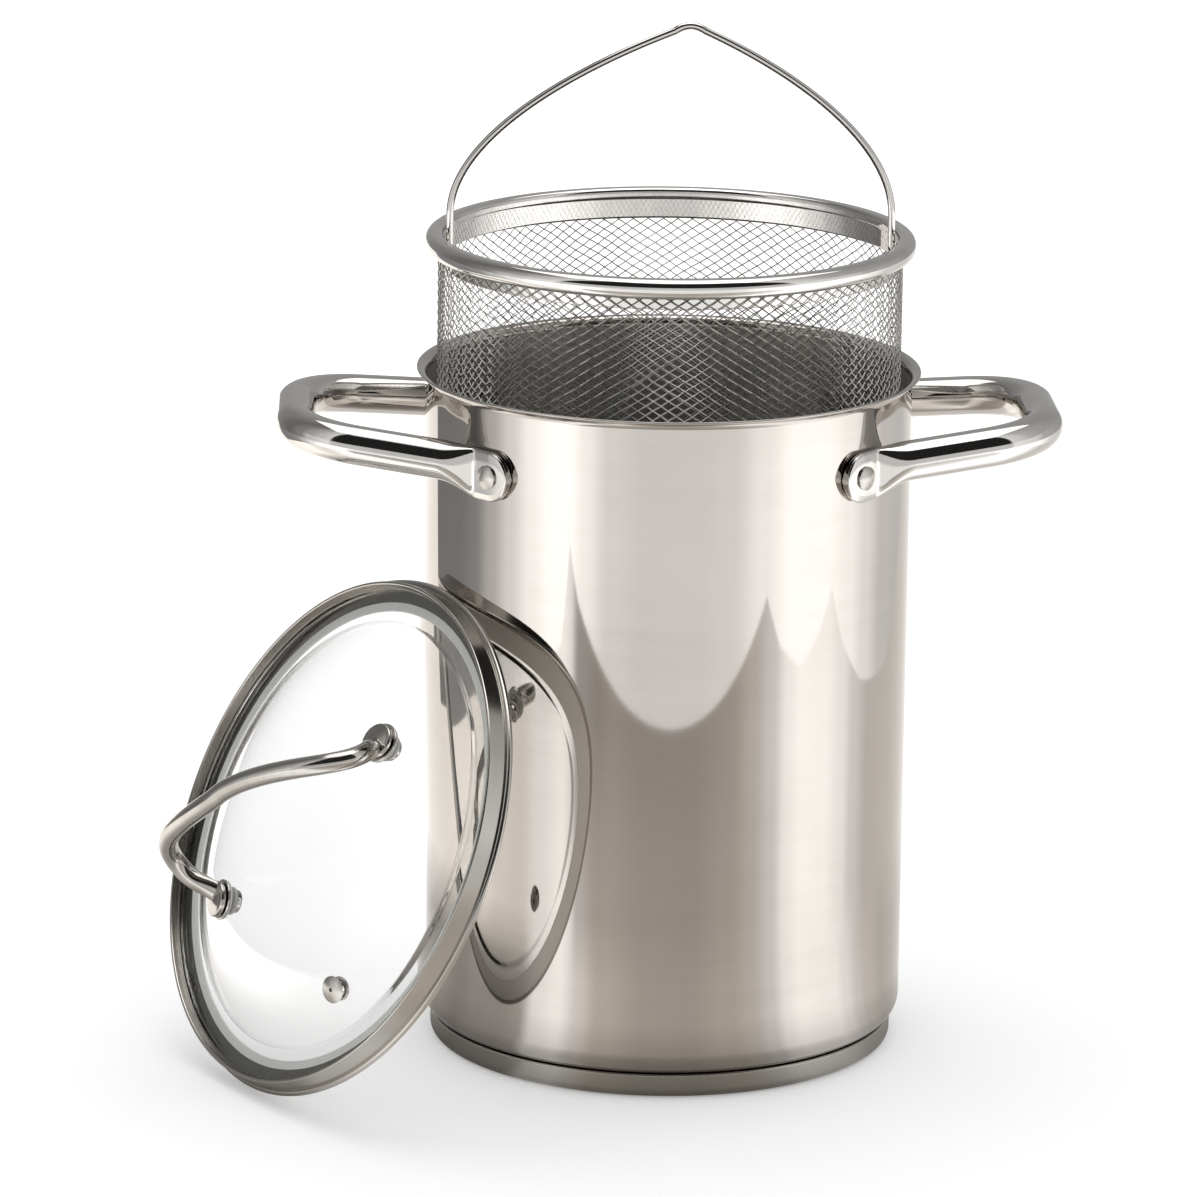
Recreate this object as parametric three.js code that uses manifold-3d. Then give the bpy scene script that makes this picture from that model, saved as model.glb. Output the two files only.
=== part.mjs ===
// Asparagus pot: tall stainless steel pot with a capsule base and two riveted bow handles,
// a wire mesh basket on a bail, lifted part of the way out, and a glass lid leaning on the pot.
// Millimetres, +Z up. The origin is on the pot's axis, in the plane that the base stands on.
// The two bow handles lie along X.
import * as THREE from 'three';
import { mergeVertices } from 'three/addons/utils/BufferGeometryUtils.js';
import Module from 'manifold-3d';

const wasm = await Module();
wasm.setup();

// Pot body
const potRadius = 80.7;
const potHeight = 229;
const potWall = 0.8;
const potCorner = 8;
const rimFlare = 3.3;

// Capsule base: an aluminium core in a steel cap, under the body
const capInset = 2.9;
const capWall = 0.6;
const capCorner = 2.6;
const coreThickness = 6.2;
const bondGap = 0.1;
const seamGap = 0.4;

// Bow handles, bent from round rod and flattened at the ends
const handleRod = 6.6;
const handleStandoff = 42.8;
const gripInset = 22.9;
const legRootInset = 10.7;
const legRootToRivet = 8.6;
const handleBend = 28;
const handleClimb = 6;
const tabThickness = 3;
const tabHalfHeight = 8.3;
const tabFlattening = 10;
const tabSettling = 2.6;
const tabSquareness = 3.4;
const tabFit = 0.3;

// Handle rivets
const rivetAngle = 42.85;
const rivetDrop = 24.4;
const rivetShank = 2.5;
const rivetHead = 3.9;
const rivetDome = 1.7;
const rivetTail = 4.5;
const rivetTailThickness = 1.7;
const rivetTailBevel = 0.5;
const rivetFit = 0.3;

// Basket
const basketLift = 38.7;
const basketSeatGap = 0.3;
const basketRimOverhang = 0.3;
const basketRimHeight = 6.6;
const basketRimRound = 1.6;
const basketRimHook = 0.8;
const basketHemDepth = 7.2;
const basketHemWall = 0.65;
const basketWallInset = 3.75;
const basketWallThickness = 0.9;
const basketFloorRise = 15;
const basketRingHeight = 6;
const basketRingLip = 3.4;
const basketRingWall = 0.4;
const basketFit = 0.1;
const weaveStrap = 3.2;
const weaveMargin = 2;

// Bail and its eyelets
const bailWire = 1.25;
const bailHeight = 75.7;
const bailCrownShift = 5.5;
const bailCrownRound = 5;
const bailCrownDrop = 2.1;
const bailCrownPeak = 1.4;
const bailLegLength = 12;
const bailShoulder = 36.5;
const bailEaves = 45;
const bailElbow = 2.4;
const eyeletDrop = 3.5;
const eyeletFlange = 3;
const eyeletFlangeThickness = 0.55;
const eyeletTube = 2;
const bailFit = 0.3;

// Lid
const lidOverhang = 7.3;
const lidBandTaper = 2.4;
const lidBandHeight = 8.3;
const lidBandWall = 1.3;
const lidTopRound = 0.6;
const lidBead = 1.1;
const lidBeadTurn = 120;
const lidFlangeInset = 11.4;
const lidFlangeThickness = 0.8;
const lidFlangeRaise = 0.45;
const lidLipInset = 4.6;
const lidLipThickness = 0.6;
const lidLipRound = 0.3;
const glassThickness = 3.5;
const glassEdgeRound = 0.9;
const domeInset = 15;
const domeRise = 15.5;
const domeFullness = 3;
const lidFit = 0.3;

// Lid handle, its screws and the steam vent
const lidRod = 3.3;
const lidRodEnd = 0.7;
const screwInset = 29;
const lidHandleRise = 32;
const lidHandleSwing = 13.7;
const lidHandleBulge = 15.7;
const lidHandleSkew = 1.45;
const lidHandleTurn = 51.4;
const footRadius = 6;
const footThickness = 2;
const footBevel = 0.5;
const footFace = 4.8;
const footDome = 0.7;
const footHoleDepth = 1.2;
const washerRadius = 6.8;
const washerThickness = 0.6;
const gasketRadius = 6.5;
const gasketThickness = 0.7;
const screwShank = 2;
const screwHead = 3.8;
const screwHeadHeight = 1.5;
const screwHeadBevel = 0.5;
const padRadius = 4.6;
const padThickness = 0.8;
const ventInset = 11.5;
const ventTurn = -47;
const ventFlange = 5;
const ventFlangeThickness = 1;
const ventTube = 2.6;
const ventBore = 1.2;

// How the lid leans: the way its face looks, how far it lies back, and its bearing from the pot
const lidHeading = -149.87;
const lidTilt = 24.02;
const lidBearing = -156.36;
const restGap = 0.3;

// Facets
const roundSteps = 48;
const rodSteps = 12;
const wireSteps = 8;
const smallSteps = 16;
const arcSteps = 3;
const beadSteps = 6;
const bendSteps = 6;
const tabSteps = 7;
const elbowSteps = 4;
const archSteps = 14;
const domeSteps = 7;
const lidHandleSteps = 24;
const weaveRows = 15;
const weaveFacets = 4;

// Drills for the holes run past both faces of what they go through
const drillLength = 12;

// Finishes
const satinSteel = new THREE.MeshStandardMaterial({ color: 0xc9c6c2, roughness: 0.22, metalness: 1 });
const brightSteel = new THREE.MeshStandardMaterial({ color: 0xd2d0cd, roughness: 0.12, metalness: 1 });
const brushedSteel = new THREE.MeshStandardMaterial({ color: 0xb9b4ae, roughness: 0.35, metalness: 1 });
const aluminium = new THREE.MeshStandardMaterial({ color: 0xb8babd, roughness: 0.45, metalness: 1 });
const wireSteel = new THREE.MeshStandardMaterial({ color: 0xbfbdb9, roughness: 0.3, metalness: 1 });
const clearGlass = new THREE.MeshStandardMaterial({ color: 0xdfe8e4, roughness: 0.03, metalness: 0 });
const silicone = new THREE.MeshStandardMaterial({ color: 0xd8d8d4, roughness: 0.6, metalness: 0 });

const halfTurn = 180;
const radians = THREE.MathUtils.degToRad;
const degrees = THREE.MathUtils.radToDeg;
const axisX = new THREE.Vector3(1, 0, 0);
const axisY = new THREE.Vector3(0, 1, 0);
const axisZ = new THREE.Vector3(0, 0, 1);

// Points on an arc in a profile, from one angle to another, in degrees
function arc(x, y, radius, from, to, steps = arcSteps) {
  const points = [];
  for (let i = 0; i <= steps; i++) {
    const angle = radians(from + (to - from) * i / steps);
    points.push(new THREE.Vector2(x + radius * Math.cos(angle), y + radius * Math.sin(angle)));
  }
  return points;
}

// Points over a shallow dome, from its edge to the axis
function dome(edge, base, rise) {
  const sphere = (edge ** 2 + rise ** 2) / (2 * rise);
  const angle = degrees(Math.asin(edge / sphere));
  return arc(0, base + rise - sphere, sphere, 90 - angle, 90);
}

function point(x, y) {
  return new THREE.Vector2(x, y);
}

// A solid turned about Z from an outline of radius and height, drawn counterclockwise
function turned(outline, steps = roundSteps) {
  return new THREE.LatheGeometry(outline, steps).rotateX(Math.PI / 2);
}

// A turned solid that doesn't reach the axis: its outline closes on itself
function turnedRing(outline, steps = roundSteps) {
  return turned([...outline, outline[0].clone()], steps);
}

function solidOf(geometry) {
  const bare = geometry.clone();
  bare.deleteAttribute('normal');
  bare.deleteAttribute('uv');
  const merged = mergeVertices(bare, 1e-4);
  const index = merged.index.array;
  const triangles = [];
  for (let i = 0; i < index.length; i += 3) {
    const [a, b, c] = [index[i], index[i + 1], index[i + 2]];
    if (a !== b && b !== c && c !== a) triangles.push(a, b, c);
  }
  return new wasm.Manifold(new wasm.Mesh({
    numProp: 3,
    vertProperties: new Float32Array(merged.attributes.position.array),
    triVerts: new Uint32Array(triangles),
  }));
}

function geometryOf(solid) {
  const mesh = solid.getMesh();
  const geometry = new THREE.BufferGeometry();
  geometry.setAttribute('position', new THREE.BufferAttribute(new Float32Array(mesh.vertProperties), 3));
  geometry.setIndex(new THREE.BufferAttribute(new Uint32Array(mesh.triVerts), 1));
  geometry.computeVertexNormals();
  return geometry;
}

function cut(geometry, tools) {
  let solid = solidOf(geometry);
  for (const tool of tools) solid = solid.subtract(solidOf(tool));
  return geometryOf(solid);
}

// A round bar along a direction, centred on a point, for drilling holes
function bar(radius, length, centre, direction) {
  const turn = new THREE.Quaternion().setFromUnitVectors(axisY, direction);
  return new THREE.CylinderGeometry(radius, radius, length, smallSteps)
    .applyQuaternion(turn)
    .translate(centre.x, centre.y, centre.z);
}

// A closed skin through oval rings; each ring has a centre, two directions with half sizes, and a
// squareness of 2 for an ellipse and more for a flatter section
function loft(rings, sides = rodSteps) {
  const positions = [];
  const index = [];
  for (const ring of rings) {
    for (let i = 0; i < sides; i++) {
      const angle = 2 * Math.PI * i / sides;
      const across = Math.sign(Math.cos(angle)) * Math.abs(Math.cos(angle)) ** (2 / ring.squareness);
      const along = Math.sign(Math.sin(angle)) * Math.abs(Math.sin(angle)) ** (2 / ring.squareness);
      const spot = ring.centre.clone()
        .addScaledVector(ring.side, across * ring.halfWidth)
        .addScaledVector(ring.up, along * ring.halfHeight);
      positions.push(spot.x, spot.y, spot.z);
    }
  }
  for (let r = 0; r + 1 < rings.length; r++) {
    for (let i = 0; i < sides; i++) {
      const j = (i + 1) % sides;
      const [a, b] = [r * sides + i, r * sides + j];
      index.push(a, b, b + sides, a, b + sides, a + sides);
    }
  }
  const last = (rings.length - 1) * sides;
  for (let i = 1; i + 1 < sides; i++) {
    index.push(0, i + 1, i);
    index.push(last, last + i, last + i + 1);
  }
  const geometry = new THREE.BufferGeometry();
  geometry.setAttribute('position', new THREE.Float32BufferAttribute(positions, 3));
  geometry.setIndex(index);
  return geometry;
}

function add(parent, name, geometry, material) {
  const mesh = new THREE.Mesh(geometry, material);
  mesh.name = name;
  parent.add(mesh);
  return mesh;
}

// Unit vector that points out from the pot's axis at a bearing, in degrees
function outward(bearing) {
  return new THREE.Vector3(Math.cos(radians(bearing)), Math.sin(radians(bearing)), 0);
}

const object = new THREE.Group();
const handleBearings = { right: 0, left: halfTurn };
const rivetPlaces = [];
for (const [side, bearing] of Object.entries(handleBearings)) {
  for (const [place, turn] of [['front', -1], ['back', 1]]) {
    const mirrored = side === 'right' ? turn : -turn;
    rivetPlaces.push({ name: `rivet_${side}_${place}`, bearing: bearing + mirrored * rivetAngle });
  }
}

// Pot body: a deep drawn shell with a rounded bottom corner and a flared pouring rim
const bodyFloor = capWall + bondGap + coreThickness + bondGap;
const potBore = potRadius - potWall;
const rimRadius = potBore + rimFlare;
const rimCentre = potHeight - rimFlare;
const rivetHeight = potHeight - rivetDrop;
const capRadius = potRadius - capInset;
const tabOuter = potRadius + tabFit + tabThickness;
const tabMiddle = potRadius + tabFit + tabThickness / 2;

function potBody() {
  const cornerCentre = potRadius - potCorner;
  const outline = [
    point(0, bodyFloor),
    ...arc(cornerCentre, bodyFloor + potCorner, potCorner, -90, 0),
    ...arc(rimRadius, rimCentre, rimFlare - potWall, 180, 90),
    point(rimRadius + potWall / 2, potHeight - potWall / 2),
    ...arc(rimRadius, rimCentre, rimFlare, 90, 180),
    ...arc(cornerCentre, bodyFloor + potCorner, potCorner - potWall, 0, -90),
    point(0, bodyFloor + potWall),
  ];
  const holes = rivetPlaces.map(({ bearing }) => {
    const direction = outward(bearing);
    const centre = direction.clone().multiplyScalar(potRadius - potWall / 2).setZ(rivetHeight);
    return bar(rivetShank + rivetFit, drillLength, centre, direction);
  });
  return cut(turned(outline), holes);
}

// Steel cap of the base, open at the top, with a narrow seam under the body's rounded corner
function baseCap() {
  const inside = capRadius - capWall;
  const fromCorner = inside - (potRadius - potCorner);
  const capTop = bodyFloor + potCorner - Math.sqrt(potCorner ** 2 - fromCorner ** 2) - seamGap;
  return turned([
    point(0, 0),
    ...arc(capRadius - capCorner, capCorner, capCorner, -90, 0),
    point(capRadius, capTop),
    point(inside, capTop),
    ...arc(capRadius - capCorner, capCorner, capCorner - capWall, 0, -90),
    point(0, capWall),
  ]);
}

// Heat spreading core between the cap and the body
function baseCore() {
  const underside = capWall + bondGap;
  const radius = capRadius - capWall - bondGap;
  const chamfer = capCorner - capWall;
  return turned([
    point(0, underside),
    point(radius - chamfer, underside),
    point(radius, underside + chamfer),
    point(radius, underside + coreThickness),
    point(0, underside + coreThickness),
  ]);
}

add(object, 'pot_body', potBody(), satinSteel);
add(object, 'base_cap', baseCap(), brushedSteel);
add(object, 'base_core', baseCore(), aluminium);

// Bow handle along +X: a rod grip with two legs that flatten into tabs on the pot's wall
function bowHandle() {
  const handleReach = potRadius + handleStandoff;
  const rivetSpread = tabMiddle * Math.sin(radians(rivetAngle));
  const gripHalfLength = rivetSpread - gripInset;
  const legStart = new THREE.Vector2(handleReach, gripHalfLength);
  const legRoot = new THREE.Vector2(potRadius - legRootInset, rivetSpread - legRootToRivet);
  const legWay = legRoot.clone().sub(legStart).normalize();
  // Where the leg's centre line meets the middle of the tab's thickness
  const inward = legStart.dot(legWay);
  const toWall = -inward - Math.sqrt(inward ** 2 - legStart.lengthSq() + tabMiddle ** 2);
  const bendPoint = legStart.clone().addScaledVector(legWay, toWall);
  const bendBearing = Math.atan2(bendPoint.y, bendPoint.x);
  const flatStart = bendPoint.clone().addScaledVector(legWay, -tabFlattening);
  const onWall = (bearing) => new THREE.Vector2(Math.cos(bearing), Math.sin(bearing)).multiplyScalar(tabMiddle);
  const rivetBearing = radians(rivetAngle);
  const flatEnd = Math.min(bendBearing + tabSettling / tabMiddle, rivetBearing);

  const half = [];
  const station = (spot, flatness, halfHeight) => half.push({ spot, flatness, halfHeight });
  station(new THREE.Vector2(handleReach, 0), 0, handleRod);
  // Rounded corner between the grip and the leg
  const cornerTurn = Math.acos(legWay.y);
  const cornerLength = handleBend * Math.tan(cornerTurn / 2);
  const cornerCentre = new THREE.Vector2(handleReach - handleBend, gripHalfLength - cornerLength);
  for (const spot of arc(cornerCentre.x, cornerCentre.y, handleBend, 0, degrees(cornerTurn), bendSteps)) {
    station(spot, 0, handleRod);
  }
  // The leg's end flattens while it bends round to lie along the wall
  const flattening = new THREE.QuadraticBezierCurve(flatStart, bendPoint, onWall(flatEnd));
  for (let i = 0; i <= tabSteps; i++) {
    const share = THREE.MathUtils.smoothstep(i / tabSteps, 0, 1);
    station(flattening.getPoint(i / tabSteps), share, THREE.MathUtils.lerp(handleRod, tabHalfHeight, share));
  }
  // The tab ends in a half circle round its rivet
  for (let i = 0; i < tabSteps; i++) {
    const angle = i / tabSteps * Math.PI / 2;
    const bearing = rivetBearing + tabHalfHeight * Math.sin(angle) / tabMiddle;
    station(onWall(bearing), 1, tabHalfHeight * Math.cos(angle));
  }

  const climb = Math.tan(radians(handleClimb));
  const rivetReach = tabMiddle * Math.cos(rivetBearing);
  const rodHeight = (reach) => rivetHeight + tabHalfHeight - handleRod + climb * (reach - rivetReach);
  const mirrored = half.slice(1).reverse().map((s) => ({ ...s, spot: new THREE.Vector2(s.spot.x, -s.spot.y) }));
  const route = [...mirrored, ...half];
  const rings = route.map(({ spot, flatness, halfHeight }, i) => {
    const before = route[Math.max(i - 1, 0)].spot;
    const after = route[Math.min(i + 1, route.length - 1)].spot;
    const way = after.clone().sub(before).normalize();
    // The top edge runs on in line while the section grows downwards
    const drop = flatness * (tabHalfHeight - handleRod);
    const level = THREE.MathUtils.lerp(rodHeight(spot.x), rivetHeight + tabHalfHeight - handleRod, flatness);
    return {
      centre: new THREE.Vector3(spot.x, spot.y, level - drop),
      side: new THREE.Vector3(-way.y, way.x, 0),
      up: axisZ,
      halfWidth: THREE.MathUtils.lerp(handleRod, tabThickness / 2, flatness),
      halfHeight,
      squareness: THREE.MathUtils.lerp(2, tabSquareness, flatness),
    };
  });
  const potSpace = new THREE.CylinderGeometry(potRadius + tabFit, potRadius + tabFit, potHeight, roundSteps)
    .rotateX(Math.PI / 2)
    .translate(0, 0, rivetHeight);
  const holes = [-1, 1].map((turn) => {
    const direction = outward(turn * rivetAngle);
    const centre = direction.clone().multiplyScalar(tabMiddle).setZ(rivetHeight);
    return bar(rivetShank + rivetFit, drillLength, centre, direction);
  });
  return cut(loft(rings), [potSpace, ...holes]);
}

for (const [side, bearing] of Object.entries(handleBearings)) {
  const handle = add(object, `handle_${side}`, bowHandle(), brightSteel);
  handle.rotation.z = radians(bearing);
}

// Rivet along +Z: domed head on the tab, shank, and a flat tail inside the pot
const tailFace = Math.sqrt((potBore - rivetFit) ** 2 - rivetTail ** 2);
const headFace = tabOuter + rivetFit;

function rivet() {
  return turned([
    point(0, tailFace - rivetTailThickness),
    point(rivetTail - rivetTailBevel, tailFace - rivetTailThickness),
    point(rivetTail, tailFace - rivetTailThickness + rivetTailBevel),
    point(rivetTail, tailFace),
    point(rivetShank, tailFace),
    point(rivetShank, headFace),
    ...dome(rivetHead, headFace, rivetDome),
  ], smallSteps);
}

for (const { name, bearing } of rivetPlaces) {
  const mesh = add(object, name, rivet(), brightSteel);
  mesh.quaternion.setFromUnitVectors(axisZ, outward(bearing));
  mesh.position.z = rivetHeight;
}

// Basket, in a group whose origin is the middle of its rim
const basket = new THREE.Group();
basket.position.z = potHeight + basketSeatGap + basketRimHeight / 2 + basketLift;
object.add(basket);

const basketRimRadius = potRadius + basketRimOverhang;
const basketWallRadius = potRadius - basketWallInset;
const wallInner = basketWallRadius - basketWallThickness;
const hemOuter = wallInner - basketFit;
const hemInner = hemOuter - basketHemWall;
const basketBottom = basketFloorRise - potHeight;
const ringTop = basketBottom + basketRingHeight;
const eyeletReach = hemInner - bailFit;
const bailSpan = eyeletReach - eyeletFlangeThickness - bailFit - bailWire;

// Rolled rim: a bead outside the wire wall and a hem inside it, with a slot between for the wire
function basketRim() {
  const half = basketRimHeight / 2;
  const slotOuter = basketWallRadius + basketFit;
  const slotTop = half - basketRimRound - basketHemWall;
  const outline = [
    point(hemInner, -basketHemDepth),
    point(hemOuter, -basketHemDepth),
    point(hemOuter, slotTop),
    point(slotOuter, slotTop),
    ...arc(slotOuter + basketRimHook, basketRimHook - half, basketRimHook, 180, 270),
    ...arc(basketRimRadius - basketRimRound, basketRimRound - half, basketRimRound, -90, 0),
    ...arc(basketRimRadius - basketRimRound, half - basketRimRound, basketRimRound, 0, 90),
    ...arc(hemInner + basketRimRound, half - basketRimRound, basketRimRound, 90, 180),
  ];
  const holes = [-1, 1].map((side) => {
    const centre = new THREE.Vector3(side * (hemInner + hemOuter) / 2, 0, -eyeletDrop);
    return bar(eyeletTube + basketFit, basketHemWall * 2, centre, axisX);
  });
  return cut(turnedRing(outline), holes);
}

// Woven wire wall: a thin tube of the mesh's true size, opened in a coarse diagonal grid. Rows of
// diamonds, each shifted by half a cell, lie between a plain band in the rim and one in the foot ring
function basketWall() {
  const top = basketRimHeight / 2 - basketRimRound - basketHemWall - basketFit;
  const bottom = basketBottom + basketRingWall + basketFit;
  const gridTop = -basketHemDepth - weaveMargin;
  const gridBottom = ringTop + weaveMargin;
  const rise = (gridTop - gridBottom) / (weaveRows + 1);
  const cells = roundSteps / weaveFacets;
  const halfCell = Math.PI / cells;
  const span = halfCell * basketWallRadius;
  const open = 1 - weaveStrap / 2 * Math.hypot(span, rise) / (span * rise);
  const positions = [];
  const index = [];

  // Each spot stands on the outer face and, next in number, on the inner face
  const spot = (angle, z) => {
    for (const radius of [basketWallRadius, wallInner]) {
      positions.push(radius * Math.cos(angle), radius * Math.sin(angle), z);
    }
    return positions.length / 3 - 2;
  };
  const face = (...corners) => {
    for (let i = 2; i < corners.length; i++) {
      const [a, b, c] = [corners[0], corners[i - 1], corners[i]];
      index.push(a, b, c, a + 1, c + 1, b + 1);
    }
  };
  const edge = (a, b) => index.push(b, a, a + 1, b, a + 1, b + 1);
  const ring = (z) => Array.from({ length: roundSteps }, (_, i) => spot(2 * Math.PI * i / roundSteps, z));

  const rows = Array.from({ length: weaveRows }, (_, row) => Array.from({ length: cells }, (__, k) => {
    const angle = (2 * k + row % 2) * halfCell;
    const z = gridBottom + (row + 1) * rise;
    return {
      top: spot(angle, z + open * rise),
      right: spot(angle + open * halfCell, z),
      bottom: spot(angle, z - open * rise),
      left: spot(angle - open * halfCell, z),
    };
  }));
  const cell = (row, k) => rows[row][(k + cells) % cells];

  for (let row = 0; row < weaveRows; row++) {
    for (let k = 0; k < cells; k++) {
      const here = cell(row, k);
      edge(here.top, here.right);
      edge(here.right, here.bottom);
      edge(here.bottom, here.left);
      edge(here.left, here.top);
      if (row + 1 === weaveRows) continue;
      const right = cell(row + 1, k + row % 2);
      const left = cell(row + 1, k + row % 2 - 1);
      face(here.top, here.right, right.bottom, right.left);
      face(here.top, left.right, left.bottom, here.left);
      if (row + 2 < weaveRows) face(here.top, right.left, cell(row + 2, k).bottom, left.right);
    }
  }

  // Joins a band to the nearest row of openings; the lower band is the upper one mirrored
  const join = (band, row, nextRow, tip, mirrored) => {
    for (let k = 0; k < cells; k++) {
      const [here, next, between] = [cell(row, k), cell(row, k + 1), cell(nextRow, k)];
      const at = (i) => band[(k * weaveFacets + i) % roundSteps];
      for (const corners of [
        [at(0), here[tip], at(1)], [here[tip], here.right, at(1)],
        [here.right, at(2), at(1)], [here.right, between[tip], at(2)],
        [between[tip], next.left, at(2)], [next.left, at(3), at(2)],
        [next.left, next[tip], at(3)], [next[tip], at(4), at(3)],
      ]) face(...(mirrored ? corners.reverse() : corners));
    }
  };
  const [upperEdge, upperBand, lowerBand, lowerEdge] = [top, gridTop, gridBottom, bottom].map(ring);
  join(upperBand, weaveRows - 1, weaveRows - 2, 'top', false);
  join(lowerBand, 0, 1, 'bottom', true);
  for (let i = 0; i < roundSteps; i++) {
    const j = (i + 1) % roundSteps;
    face(upperBand[i], upperBand[j], upperEdge[j], upperEdge[i]);
    face(lowerEdge[i], lowerEdge[j], lowerBand[j], lowerBand[i]);
    edge(upperEdge[j], upperEdge[i]);
    edge(lowerEdge[i], lowerEdge[j]);
  }
  const geometry = new THREE.BufferGeometry();
  geometry.setAttribute('position', new THREE.Float32BufferAttribute(positions, 3));
  geometry.setIndex(index);
  return geometry;
}

// Channel ring that holds the wall's lower edge and the floor's edge
function basketFootRing() {
  const outer = basketWallRadius + basketFit + basketRingWall;
  const inner = wallInner - basketFit;
  return turnedRing([
    point(inner - basketRingLip, basketBottom),
    point(outer - basketRingWall, basketBottom),
    point(outer, basketBottom + basketRingWall),
    point(outer, ringTop),
    point(outer - basketRingWall, ringTop),
    point(outer - basketRingWall, basketBottom + basketRingWall),
    point(inner - basketRingLip, basketBottom + basketRingWall),
  ]);
}

// Woven wire floor, as a thin disc on the ring's lip
function basketFloor() {
  const underside = basketBottom + basketRingWall + basketFit;
  const radius = wallInner - basketFit;
  return turned([
    point(0, underside),
    point(radius, underside),
    point(radius, underside + basketWallThickness),
    point(0, underside + basketWallThickness),
  ]);
}

// Flanged eyelet in the rim's hem, along +X
function bailEyelet() {
  const bore = bailWire + bailFit;
  const tubeEnd = bailFit + basketHemWall - basketFit;
  return turnedRing([
    point(bore, -eyeletFlangeThickness),
    point(eyeletFlange, -eyeletFlangeThickness),
    point(eyeletFlange, 0),
    point(eyeletTube, 0),
    point(eyeletTube, tubeEnd),
    point(bore, tubeEnd),
  ], smallSteps).rotateY(Math.PI / 2);
}

// Carrying bail: one wire with a pointed crown, its ends turned out into the eyelets
function basketBail() {
  const spot = (x, z) => new THREE.Vector3(x, 0, z);
  const pinEnd = hemOuter - basketFit;
  const side = (sign) => {
    const elbow = new THREE.QuadraticBezierCurve3(
      spot(sign * (bailSpan + bailElbow), 0), spot(sign * bailSpan, 0), spot(sign * bailSpan, bailElbow));
    const legTop = spot(sign * bailSpan, bailLegLength);
    const shoulder = spot(sign * bailSpan, bailShoulder);
    const nearCrown = spot(bailCrownShift + sign * bailCrownRound, bailHeight - bailCrownDrop);
    const slope = nearCrown.clone().lerp(spot(sign * bailSpan, bailEaves), 1 / 2);
    return [
      new THREE.LineCurve3(spot(sign * pinEnd, 0), elbow.v0),
      elbow,
      new THREE.LineCurve3(elbow.v2, legTop),
      new THREE.CubicBezierCurve3(legTop, shoulder, slope, nearCrown),
    ];
  };
  const reversed = (curve) => {
    if (curve.isLineCurve3) return new THREE.LineCurve3(curve.v2, curve.v1);
    if (curve.isQuadraticBezierCurve3) return new THREE.QuadraticBezierCurve3(curve.v2, curve.v1, curve.v0);
    return new THREE.CubicBezierCurve3(curve.v3, curve.v2, curve.v1, curve.v0);
  };
  const left = side(-1);
  const right = side(1);
  const top = spot(bailCrownShift, bailHeight + bailCrownPeak);
  const curves = [
    ...left,
    new THREE.QuadraticBezierCurve3(left[3].v3, top, right[3].v3),
    ...right.reverse().map(reversed),
  ];
  const route = curves.flatMap((curve, i) => {
    const bent = curve.isCubicBezierCurve3 ? archSteps : elbowSteps;
    return curve.getPoints(curve.isLineCurve3 ? 1 : bent).slice(i === 0 ? 0 : 1);
  });
  const rings = route.map((centre, i) => {
    const way = route[Math.min(i + 1, route.length - 1)].clone().sub(route[Math.max(i - 1, 0)]).normalize();
    return {
      centre,
      side: axisY,
      up: way.clone().cross(axisY),
      halfWidth: bailWire,
      halfHeight: bailWire,
      squareness: 2,
    };
  });
  return loft(rings, wireSteps);
}

add(basket, 'basket_rim', basketRim(), brightSteel);
add(basket, 'basket_wall', basketWall(), wireSteel);
add(basket, 'basket_floor', basketFloor(), wireSteel);
add(basket, 'basket_foot_ring', basketFootRing(), brightSteel);
for (const [name, turn] of [['bail_eyelet_right', 0], ['bail_eyelet_left', Math.PI]]) {
  const eyelet = add(basket, name, bailEyelet(), brightSteel);
  eyelet.position.set(eyeletReach * Math.cos(turn), 0, -eyeletDrop);
  eyelet.rotation.z = turn;
}
const bail = add(basket, 'basket_bail', basketBail(), brightSteel);
bail.position.z = -eyeletDrop;

// Lid, in a group whose origin is the centre of the band's lower edge, with its dome along +Z
const lid = new THREE.Group();
object.add(lid);

const lidRadius = potRadius + lidOverhang;
const lidTopRadius = lidRadius - lidBandTaper;
const lidFlangeRadius = lidRadius - lidFlangeInset;
const lidLipRadius = lidRadius - lidLipInset;
const flangeTop = lidFlangeRaise + lidFlangeThickness;
const glassUnderside = flangeTop + lidFit;
const glassEdgeTop = glassUnderside + glassThickness;
const lipUnderside = glassEdgeTop + lidFit;
const bandInner = lidTopRadius - lidBandWall;
const glassRadius = bandInner - lidFit;
const domeRadius = lidRadius - domeInset;
const screwReach = domeRadius - screwInset;
const ventReach = domeRadius - ventInset;

// Height of the glass's upper face above the lid's origin
function domeHeight(reach) {
  return glassEdgeTop + domeRise * (1 - Math.min(reach / domeRadius, 1) ** domeFullness);
}

function domeSlope(reach) {
  return domeRise * domeFullness / domeRadius * (reach / domeRadius) ** (domeFullness - 1);
}

// Spun steel band: an outer wall with a rolled lower bead, a lip over the glass and a flange under it
function lidBand() {
  const lipTop = lipUnderside + lidLipThickness;
  return turnedRing([
    point(lidFlangeRadius, lidFlangeRaise),
    point(lidRadius - lidBead * 2, lidFlangeRaise),
    ...arc(lidRadius - lidBead, lidBead, lidBead, -90, lidBeadTurn, beadSteps),
    ...arc(lidTopRadius - lidTopRound, lidBandHeight - lidTopRound, lidTopRound, 0, 180),
    ...arc(lidLipRadius + lidLipRound, lipTop - lidLipRound, lidLipRound, 90, 270),
    point(bandInner, lipUnderside),
    point(bandInner, flangeTop),
    point(lidFlangeRadius, flangeTop),
  ]);
}

// A place on the dome at a reach and a bearing, with the way that the glass faces there
function domePlace(reach, turn) {
  return {
    spot: outward(turn).multiplyScalar(reach).setZ(domeHeight(reach)),
    facing: outward(turn).multiplyScalar(domeSlope(reach)).add(axisZ).normalize(),
  };
}

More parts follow.
